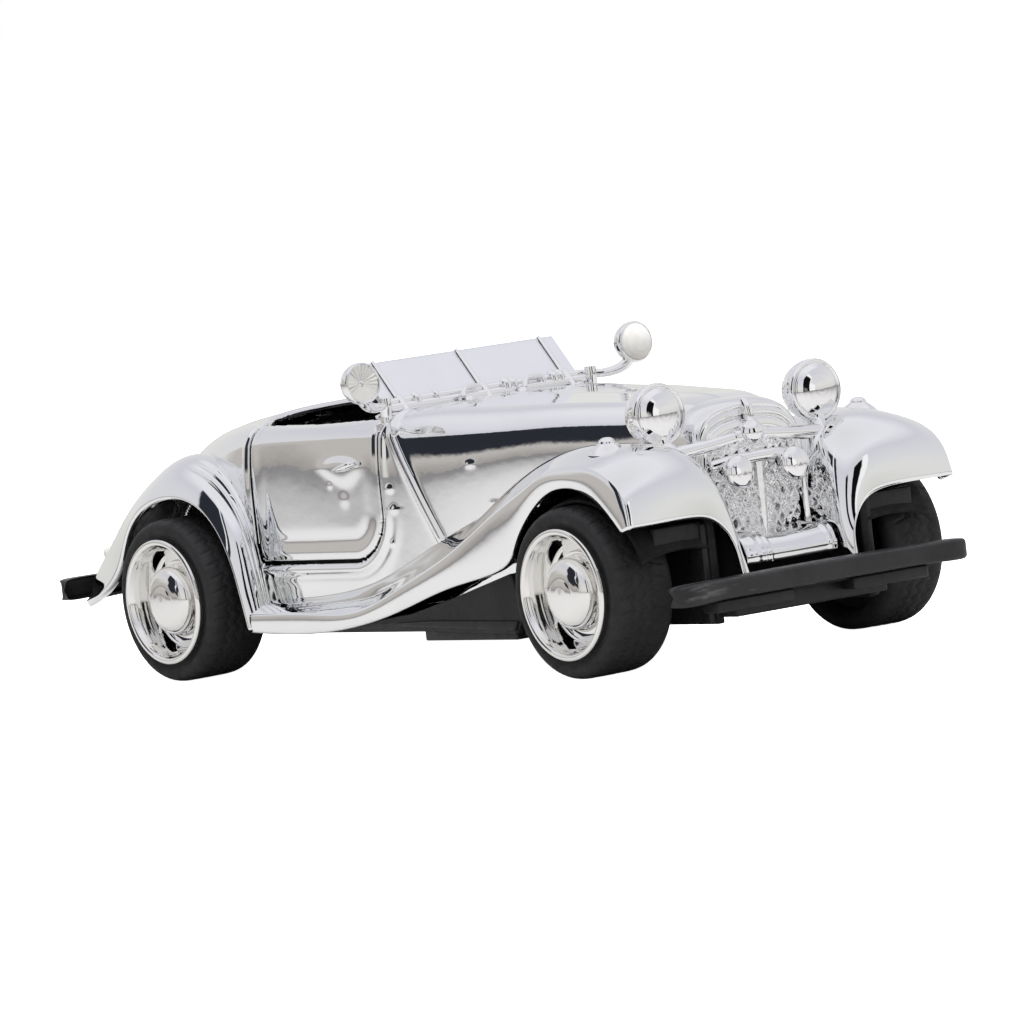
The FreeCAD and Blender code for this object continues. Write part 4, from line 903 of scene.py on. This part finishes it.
def make_windshield():
    grid = []
    for y in np.linspace(-16.4, 16.4, 160):
        row = []
        for u, t in ((-0.4, 0.34), (0.3, 0.36), (2.0, 0.36), (4.0, 0.36), (6.0, 0.36), (7.3, 0.34), (7.55, 0.2),
                     (7.6, 0.0), (7.55, -0.2), (7.3, -0.34), (5.0, -0.36), (2.0, -0.36), (-0.4, -0.34)):
            row.append(on_screen(y, u, t))
        grid.append(row)
    grid = np.array(grid)
    sheet_object("windshield_glass", grid, tuple(on_screen(0, 3.5, 0)), PANE,
                 stands_for=["windshield_pane"])
    for y, name in ((-16.4, "near"), (16.4, "far")):
        prism_ends = [on_screen(y, u, t) for u, t in ((-0.4, 0.34), (7.4, 0.34), (7.6, 0), (7.4, -0.34),
                                                      (-0.4, -0.34))]
        face = [tuple(range(5))] if y < 0 else [tuple(range(4, -1, -1))]
        mesh_object("windshield_edge_" + name, np.array(prism_ends), face, PANE, smooth=False)
    rail = [on_screen(y, 0.1 - 0.10 * (abs(y) / 17) ** 2, 0.55) for y in (-17.0, -12, -6, 0, 6, 12, 17.0)]
    pipe("windshield_rail", rail, 0.62, TRIM, 18, 90, stands_for=["windshield_frame"])
    low = [on_screen(y, -1.0, 0.75) for y in (-17.0, -12, -6, 0, 6, 12, 17.0)]
    pipe("windshield_lower_rail", low, 0.6, TRIM, 18, 90)
    for y, name in ((0.0, "middle"), (-14.0, "near"), (14.0, "far")):
        bar = [on_screen(y, u, 0.42) for u in (-0.2, 2.0, 4.5, 6.6, 7.5)]
        pipe("windshield_bar_" + name, bar, [0.5, 0.42, 0.4, 0.4, 0.3], TRIM, 16, 40)
        foot = [on_screen(y, u, 0.8) for u in (0.8, 0.0, -1.2, -2.6)]
        pipe("windshield_clip_" + name, foot, [0.45, 0.62, 0.6, 0.5], TRIM, 16, 30)
    for mirror, name in SIDES:
        post = [(-3.0, 17.3, 32.6), (-2.9, 17.3, 34.0), (-2.8, 17.3, 35.4), (-2.8, 17.3, 36.5)]
        pipe("windshield_post_" + name, post, [0.95, 0.8, 0.85, 0.8], TRIM, 24, 40, mirror)
        base = [(-3.0, 17.4, 32.2), (-3.0, 17.4, 33.2)]
        pipe("windshield_post_foot_" + name, base, 1.4, TRIM, 28, 10, mirror)
        arm = [(-2.8, 17.6, 35.5), (-2.2, 19.0, 35.4), (-1.5, 20.6, 35.6), (-0.9, 21.9, 36.2),
               (-0.6, 22.7, 37.2)]
        pipe("spot_arm_" + name, arm, [0.6, 0.62, 0.7, 0.78, 0.9], TRIM, 24, 60, mirror)
        make_spot_lamp(name, mirror)
    for k, (x, y) in enumerate(((-1.2, 4.4), (-0.6, 9.0), (-1.2, -4.6), (-0.6, -9.0), (0.8, 12.8),
                                (0.8, -12.8))):
        turned("cowl_stud_%d" % k, [(-0.6, 1.0), (0.15, 0.95), (0.5, 0.7), (0.8, 0.5), (0.95, 0.0)],
               (x, y, 34.45 - 0.0009 * abs(y) ** 3), (0, 0, 1), TRIM, 28, 20, 1, slot="plated_body")
    for y, name in ((5.2, "left"), (-5.2, "right")):
        blade = [(-1.6, y, 35.0), (-2.4, y + 0.8, 35.9), (-3.0, y + 2.4, 36.3), (-3.1, y + 4.0, 36.2)]
        pipe("wiper_" + name, blade, [0.4, 0.36, 0.34, 0.3], TRIM, 16, 40)
    for k, (y, r) in enumerate(((-11.6, 0.5), (-8.2, 0.35), (3.4, 0.62), (4.6, 0.5), (9.4, 0.4), (11.4, 0.6),
                                (12.6, 0.5))):
        knob = [on_screen(y, u, t) for u, t in ((-0.9, 1.0), (-0.2, 1.25), (0.6, 1.0))]
        pipe("rail_knuckle_%d" % k, knob, [r, r * 1.2, r * 0.9], TRIM, 16, 20)


def make_spot_lamp(name, mirror):
    centre = (0.3, 23.0, 39.05)
    axis = (0.985, 0.0, 0.06)
    shell = [(0.35, 2.42), (0.5, 2.6), (0.35, 2.78), (-0.1, 2.82), (-0.7, 2.74), (-1.5, 2.45), (-2.4, 1.8),
             (-3.0, 1.0),
             (-3.3, 0.0)]
    turned("spot_shell_" + name, shell, centre, axis, TRIM, 96, 50, 1, mirror,
           stands_for=["spot_lamp_" + name])
    if name == "left":
        dome = [(0.0, 2.5), (0.5, 2.4), (1.1, 2.0), (1.55, 1.3), (1.75, 0.6), (1.8, 0.0)]
        turned("spot_dome_" + name, dome, centre, axis, PEARL, 96, 50, 1, mirror,
               stands_for=["spot_lens_" + name])
        return
    # a shallow cone pressed into flat rays, with a bead in its middle
    sides, rings = 48, 8
    along, first, second = frame_of(axis)
    verts = []
    for r in np.linspace(0.25, 2.5, rings):
        for j in range(sides):
            a = j * 2 * math.pi / sides
            depth = 0.30 - 0.42 * (1 - r / 2.5) + (0.035 if j % 2 else 0.0) * (r / 2.5)
            verts.append(np.array(centre) + depth * along + r * (math.cos(a) * first + math.sin(a) * second))
    faces = grid_faces(rings, sides, wrap_v=True)
    verts = np.array(verts)
    quads = verts[faces]
    if (np.cross(quads[:, 2] - quads[:, 0], quads[:, 3] - quads[:, 1]) @ along).sum() < 0:
        faces = faces[:, ::-1]
    mesh_object("spot_rays_" + name, verts, faces, RAY_PLATE, smooth=False, mirror=mirror,
                stands_for=["spot_lens_" + name])
    turned("spot_bead_" + name, [(-0.3, 0.5), (0.0, 0.45), (0.15, 0.3), (0.22, 0.0)], centre, axis, TRIM, 32,
           16, 1,
           mirror, slot="pearl_lens")


# ------------------------------------------------------------------ handles, tail and black parts
def make_handles():
    for mirror, name, body in ((False, "left", "left_door"), (True, "right", "right_door")):
        lever = [(-7.3, 20.3, 28.2), (-7.7, 20.8, 28.15), (-8.8, 20.95, 27.9), (-10.4, 20.8, 27.6),
                 (-12.0, 20.5, 27.4)]
        pipe("door_lever_" + name, lever, [0.32, 0.42, 0.46, 0.4, 0.2], TRIM, 24, 60, mirror, body=body,
             stands_for=["door_handle_" + name])


def make_tail_lamps():
    for mirror, name in SIDES:
        lens = [(-0.8, 1.5), (0.0, 1.5), (0.5, 1.3), (0.95, 0.8), (1.1, 0.0)]
        turned("tail_dome_" + name, lens, (-68.3, 18.7, 17.4), (-0.66, 0.15, 0.74), PEARL, 48, 30, 1, mirror,
               stands_for=["tail_lamp_" + name])


def bumper_bar(name, inner, outer, low, high, half, bow, material):
    """A flat-faced bar across the car with worn round edges and ends cut back at a slant."""
    rows = []
    r = 0.35
    for y in (-half, -half + 0.25, -half + 0.9, -0.8 * half, -0.4 * half, 0, 0.4 * half, 0.8 * half, half - 0.9,
              half - 0.25, half):
        t = abs(y) / half
        end = 0.75 if t == 1 else (0.93 if t > 0.985 else 1.0)
        mid, h = (low + high) / 2 + 0.25 * (1 - t * t), (high - low) / 2 * end
        face = inner + (outer - inner) * (0.55 if t == 1 else (0.85 if t > 0.985 else 1.0)) - bow * t * t
        rows.append([(inner, y, mid - h), ((inner + face) / 2, y, mid - h), (face - r, y, mid - h),
                     (face, y, mid - h + r),
                     (face, y, mid), (face, y, mid + h - r), (face - r, y, mid + h),
                     ((inner + face) / 2, y, mid + h),
                     (inner, y, mid + h)])
    grid = loft(rows, 160, [(0, 2, 6), (2, 3, 3), (3, 5, 12), (5, 6, 3), (6, 8, 6)], 1)
    sheet_object(name, grid, ((inner + outer) / 2, 0, (low + high) / 2), material)
    for k, row in enumerate((grid[0], grid[-1])):
        ring = np.concatenate([row, [row.mean(axis=0)]])
        n = len(row)
        faces = [(n, i + 1, i) if k == 0 else (n, i, i + 1) for i in range(n - 1)]
        mesh_object(name + ("_end_right", "_end_left")[k], ring, faces, material)


CHASSIS_BLOCKS = [
    ("front_step", (6.5, 25.2, 2.6), (57.4, 0.0, 7.3), BLACK, 0.35),
    ("front_step_lip", (3.4, 12.5, 1.6), (61.6, -11.2, 7.9), BLACK),
    ("front_step_lip_far", (3.4, 12.5, 1.6), (61.6, 11.2, 7.9), BLACK),
    # the beam and the wall behind the apron are in the darker black: painted shade under the nose
    ("front_beam", (4.8, 23.0, 2.4), (60.0, 0.0, 9.6), SHADED_BLACK),
    ("front_cross_wall", (1.2, 24.0, 7.0), (53.4, 0.0, 9.1), SHADED_BLACK),
    ("rear_beam", (7.5, 20.0, 2.4), (-70.4, 0.0, 9.3), BLACK, 0.4),
    ("rear_arm", (1.4, 20.0, 4.0), (-73.6, 0.0, 10.2), BLACK, 0.4),
    ("rear_skirt", (1.6, 20.0, 4.2), (-67.0, 0.0, 7.2), BLACK, 0.4),
]
WELL_OUTLINES = (
    ("front", 12.0, 13.2, [(31.6, 5.2), (57.4, 5.2), (57.4, 18.5), (55.0, 21.0), (50.0, 23.5), (38.0, 23.8),
                           (31.6, 20.0)]),
    ("rear", 14.4, 15.4, [(-58.5, 5.2), (-31.4, 5.2), (-31.4, 14.0), (-34.0, 20.0), (-39.0, 24.2),
                          (-50.0, 24.6),
                          (-56.0, 19.0), (-58.5, 12.0)]),
)


def make_chassis():
    """The black base: plates, step lines under the sills, wheel housings, bumper arms and ribs."""
    base = prism("base_plate", [(-68, -12), (-67, -15.6), (-31, -15.6), (-28, -23.2), (29, -23.2),
                                (31.5, -13.2), (57, -13),
                                (57, 13), (31.5, 13.2), (29, 23.2), (-28, 23.2), (-31, 15.6), (-67, 15.6),
                                (-68, 12)],
                 6.0, 7.0, "z", BLACK, 0.3)
    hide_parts("chassis_base")
    bumper_bar("front_bumper_bar", 61.8, 64.7, 8.6, 11.3, 24.0, 0.5, WORN)
    bumper_bar("rear_bumper_bar", -72.9, -75.9, 11.0, 13.9, 24.0, -0.9, WORN)
    for part in CHASSIS_BLOCKS:
        block(*part)
    for mirror, name in SIDES:
        prism("sill_step_" + name, [(-28.2, 6.6), (-5.0, 6.6), (29.2, 5.6), (31.6, 8.4), (29.4, 13.6),
                                    (18.0, 10.9), (7.0, 8.6),
                                    (-5.0, 7.4), (-28.2, 7.2)], 22.9, 24.3, "y", BLACK, 0.3, mirror)
        prism("sill_ledge_" + name, [(4.0, 6.9), (29.6, 6.1), (30.4, 7.4), (12.0, 7.6), (4.0, 7.4)], 24.0, 24.8,
              "y",
              BLACK, 0.25, mirror)
        prism("sill_foot_" + name, [(9.0, 4.9), (29.0, 4.9), (29.0, 7.0), (9.0, 7.0)], 20.0, 23.9, "y", BLACK,
              0.25, mirror)
        # the wheel well walls are in the darker black: painted shade in the wells
        for axle, inner, outer, wall in WELL_OUTLINES:
            prism(axle + "_well_wall_" + name, wall, inner, outer, "y", SHADED_BLACK, 0.25, mirror)
        # the housing round the front wheel, with its flat front wall and the recess in it; the curved housing
        # and the wall behind the wheel are in the darker black, painted shade
        rows = []
        for k in range(11):
            a = math.radians(18 + k * 14.4)
            cx, cz = FRONT_X + 13.0 * math.cos(a), AXLE_Z + 11.9 * math.sin(a)
            rows.append([(cx, 12.6, cz), (cx, 16.0, cz + 0.5), (cx, 20.0, cz + 0.4), (cx, 24.0, cz - 0.6)])
        grid = loft(rows, 80, [(0, 3, 20)], 1)
        sheet_object("front_housing_" + name, grid, (FRONT_X, 18, 40), SHADED_BLACK, 0.4, mirror=mirror)
        block("housing_front_" + name, (3.4, 1.0, 13.0), (55.4, 13.6, 11.8), BLACK, mirror=mirror)
        block("housing_brow_" + name, (1.2, 8.0, 2.4), (56.2, 17.4, 17.4), BLACK, mirror=mirror)
        block("housing_back_" + name, (1.2, 11.0, 9.0), (30.6, 18.0, 9.8), SHADED_BLACK, mirror=mirror)
        for axle, x, y in (("front", FRONT_X, 5.4), ("rear", REAR_X, 9.6)):
            block(axle + "_bearing_" + name, (4.4, 2.0, 6.0), (x, y, 8.6), BLACK, mirror=mirror)


def finish_cad():
    """The looks of the CAD parts that no piece stands for."""
    looks = {"interior_tub": BLACK, "steering_wheel": BLACK}
    looks.update(dict.fromkeys(("base_screws", "front_axle", "rear_axle", "barrel_shaft", "mainspring"), STEEL))
    looks.update(dict.fromkeys(("motor_case", "motor_cover", "barrel_gear", "rear_pinion"), NYLON))
    for node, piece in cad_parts.items():
        if not piece.hide_render:
            piece.data.materials.clear()
            piece.data.materials.append(looks.get(node, CHROME))


# ------------------------------------------------------------------ studio
def shade(value):
    """A display tone as scene light."""
    return ((value + 0.055) / 1.055) ** 2.4 if value > 0.04 else value / 12.92


def make_world():
    """The studio that the plating mirrors: pale card low down, white above, and the soft-edged PANELS."""
    world = bpy.data.worlds.new("studio")
    bpy.context.scene.world = world
    world.use_nodes = True
    tree = world.node_tree
    tree.nodes.clear()
    split = add_node(tree, "SeparateXYZ")
    link(tree, add_node(tree, "TexCoord"), "Generated", split, "Vector")

    def math_node(kind, first, second=None, value=0.0):
        node = add_node(tree, "Math")
        node.operation = kind
        tree.links.new(first, node.inputs[0])
        if second is None:
            node.inputs[1].default_value = value
        else:
            tree.links.new(second, node.inputs[1])
        return node.outputs[0]

    def smooth(source, low, high):
        node = add_node(tree, "MapRange", From_Min=low, From_Max=high)
        node.interpolation_type = "SMOOTHSTEP"
        tree.links.new(source, node.inputs["Value"])
        return node.outputs["Result"]

    height = math_node("ARCSINE", split.outputs["Z"])
    round_about = math_node("ARCTAN2", split.outputs["Y"], split.outputs["X"])
    elevation = add_node(tree, "MapRange", From_Min=-math.pi / 2, From_Max=math.pi / 2)
    tree.links.new(height, elevation.inputs["Value"])
    stops = [(-90, (0.84, 0.83, 0.81)), (-3, (0.82, 0.81, 0.79)), (0.5, (0.86, 0.855, 0.84)),
             (8, (0.90, 0.90, 0.89)),
             (20, (0.87, 0.87, 0.885)), (38, (0.84, 0.84, 0.87)), (52, (0.93, 0.93, 0.95)),
             (90, (0.90, 0.90, 0.91))]
    ramp = color_ramp(tree, elevation, "Result", [((degrees + 90) / 180, tuple(shade(c) for c in tone))
                                                  for degrees, tone in stops])
    color = ramp.outputs["Color"]

    def patch(color, azimuth, half_width, low, high, tone, soft):
        """Lays a soft-edged panel of one tone over the sky, in degrees."""
        away = math_node("SUBTRACT", round_about, value=math.radians(azimuth))
        wrapped = math_node("COSINE", away)
        inner = max(0.0, half_width - soft)
        near = smooth(wrapped, math.cos(math.radians(half_width + soft)), math.cos(math.radians(inner)))
        above = smooth(height, math.radians(low - soft), math.radians(low + soft))
        below = smooth(height, math.radians(high + soft), math.radians(high - soft))
        mask = math_node("MULTIPLY", math_node("MULTIPLY", near, above), below)
        return mix_color(tree, mask, color, [shade(c) for c in tone])

    for panel in PANELS:
        color = patch(color, *panel)
    lit, plain = add_node(tree, "Background"), add_node(tree, "Background", Color=(1, 1, 1, 1), Strength=1.0)
    tree.links.new(color, lit.inputs["Color"])
    choose = add_node(tree, "MixShader")
    link(tree, add_node(tree, "LightPath"), "Is Camera Ray", choose, "Fac")
    link(tree, lit, "Background", choose, 1)
    link(tree, plain, "Background", choose, 2)
    link(tree, choose, "Shader", add_node(tree, "OutputWorld"), "Surface")


# azimuth, half width, lowest, highest, tone, edge softness
PANELS = [
    (232, 44, -1, 14, (0.76, 0.745, 0.73), 4.0),
    (222, 34, -4, 2.0, (0.62, 0.605, 0.59), 3.0),
    (252, 20, 5.5, 46, (0.17, 0.18, 0.21), 1.2),
    (263, 1.4, 14, 60, (0.96, 0.96, 0.97), 1.0),
    (320, 6, -1, 34, (0.07, 0.07, 0.08), 1.5),
    (0, 10, -1, 33, (0.06, 0.06, 0.07), 1.0),
    (13, 3.5, -1, 36, (0.99, 0.99, 0.99), 1.0),
]


def make_floor():
    """A pale sweep that shows near white to the camera and as beige card in the plating; what the plating
    mirrors is a painted pool of light, lighter near the car and darker farther out.
    """
    size = 30.0     # half its width, in metres
    verts = [(-size, -size, 0), (size, -size, 0), (size, size, 0), (-size, size, 0)]
    mesh = bpy.data.meshes.new("floor")
    mesh.from_pydata(verts, [], [(0, 1, 2, 3)])
    floor = bpy.data.objects.new("floor", mesh)
    bpy.context.collection.objects.link(floor)
    material, tree, shader = new_material("pale_card", (0.80, 0.79, 0.77), 0.0, 0.85)
    shader.inputs["Specular IOR Level"].default_value = 0.1
    reach = add_node(tree, "VectorMath")
    reach.operation = "LENGTH"
    link(tree, add_node(tree, "TexCoord"), "Object", reach, 0)
    # painted pool of light for every ray but the camera's: lighter near the car, darker farther out
    tone = color_ramp(tree, reach, "Value", [(0.06, (0.60, 0.595, 0.58)), (0.16, (0.57, 0.56, 0.545)),
                                             (0.40, (0.44, 0.43, 0.42)), (0.95, (0.37, 0.36, 0.35))])
    seen = add_node(tree, "LightPath").outputs["Is Camera Ray"]
    tree.links.new(mix_color(tree, seen, tone.outputs["Color"], (0.93, 0.93, 0.93)),
                   shader.inputs["Base Color"])
    shader.inputs["Emission Color"].default_value = (1, 1, 1, 1)
    tree.links.new(seen, shader.inputs["Emission Strength"])
    mesh.materials.append(material)


def make_light(name, place, aim, size, watts):
    data = bpy.data.lights.new(name, "AREA")
    data.shape, data.size, data.size_y = "RECTANGLE", size, size
    data.energy = watts
    light = bpy.data.objects.new(name, data)
    bpy.context.collection.objects.link(light)
    light.location = place
    light.rotation_euler = (Vector(aim) - Vector(place)).to_track_quat("-Z", "Y").to_euler()
    light.visible_glossy = False
    light.visible_camera = False


LENS_MM, SENSOR_MM = 307.9, 36.0
CAMERA_PLACE = (0.93165, -0.7009, 0.0952)     # in metres from mid-wheelbase
CAMERA_AXES = ((0.60282, 0.78942, -0.11590), (0.01800, 0.13177, 0.99111), (0.79768, -0.59955, 0.06523))


def make_camera():
    data = bpy.data.cameras.new("camera")
    data.lens, data.sensor_width = LENS_MM, SENSOR_MM
    data.clip_start, data.clip_end = 0.05, 20.0
    camera = bpy.data.objects.new("camera", data)
    bpy.context.collection.objects.link(camera)
    turn = Matrix([Vector(axis) for axis in CAMERA_AXES]).transposed().to_4x4()
    x, y, z = CAMERA_PLACE
    camera.matrix_world = Matrix.Translation(Vector((x + SHIFT[0] / 1000, y, z))) @ turn
    bpy.context.scene.camera = camera


hull, hull_normal = make_hull()
make_doors(hull, hull_normal)
make_fenders()
make_wheels()
make_grille()
make_apron()
make_headlamps()
make_windshield()
make_handles()
make_tail_lamps()
make_chassis()
finish_cad()
make_world()
make_floor()
make_light("overhead", (0.1, -0.1, 0.75), (0, 0, 0.01), 0.8, 6.0)
make_light("front_fill", (0.7, -0.5, 0.35), (0, 0, 0.02), 0.5, 1.5)
make_camera()
bpy.context.scene.view_settings.view_transform = "Standard"
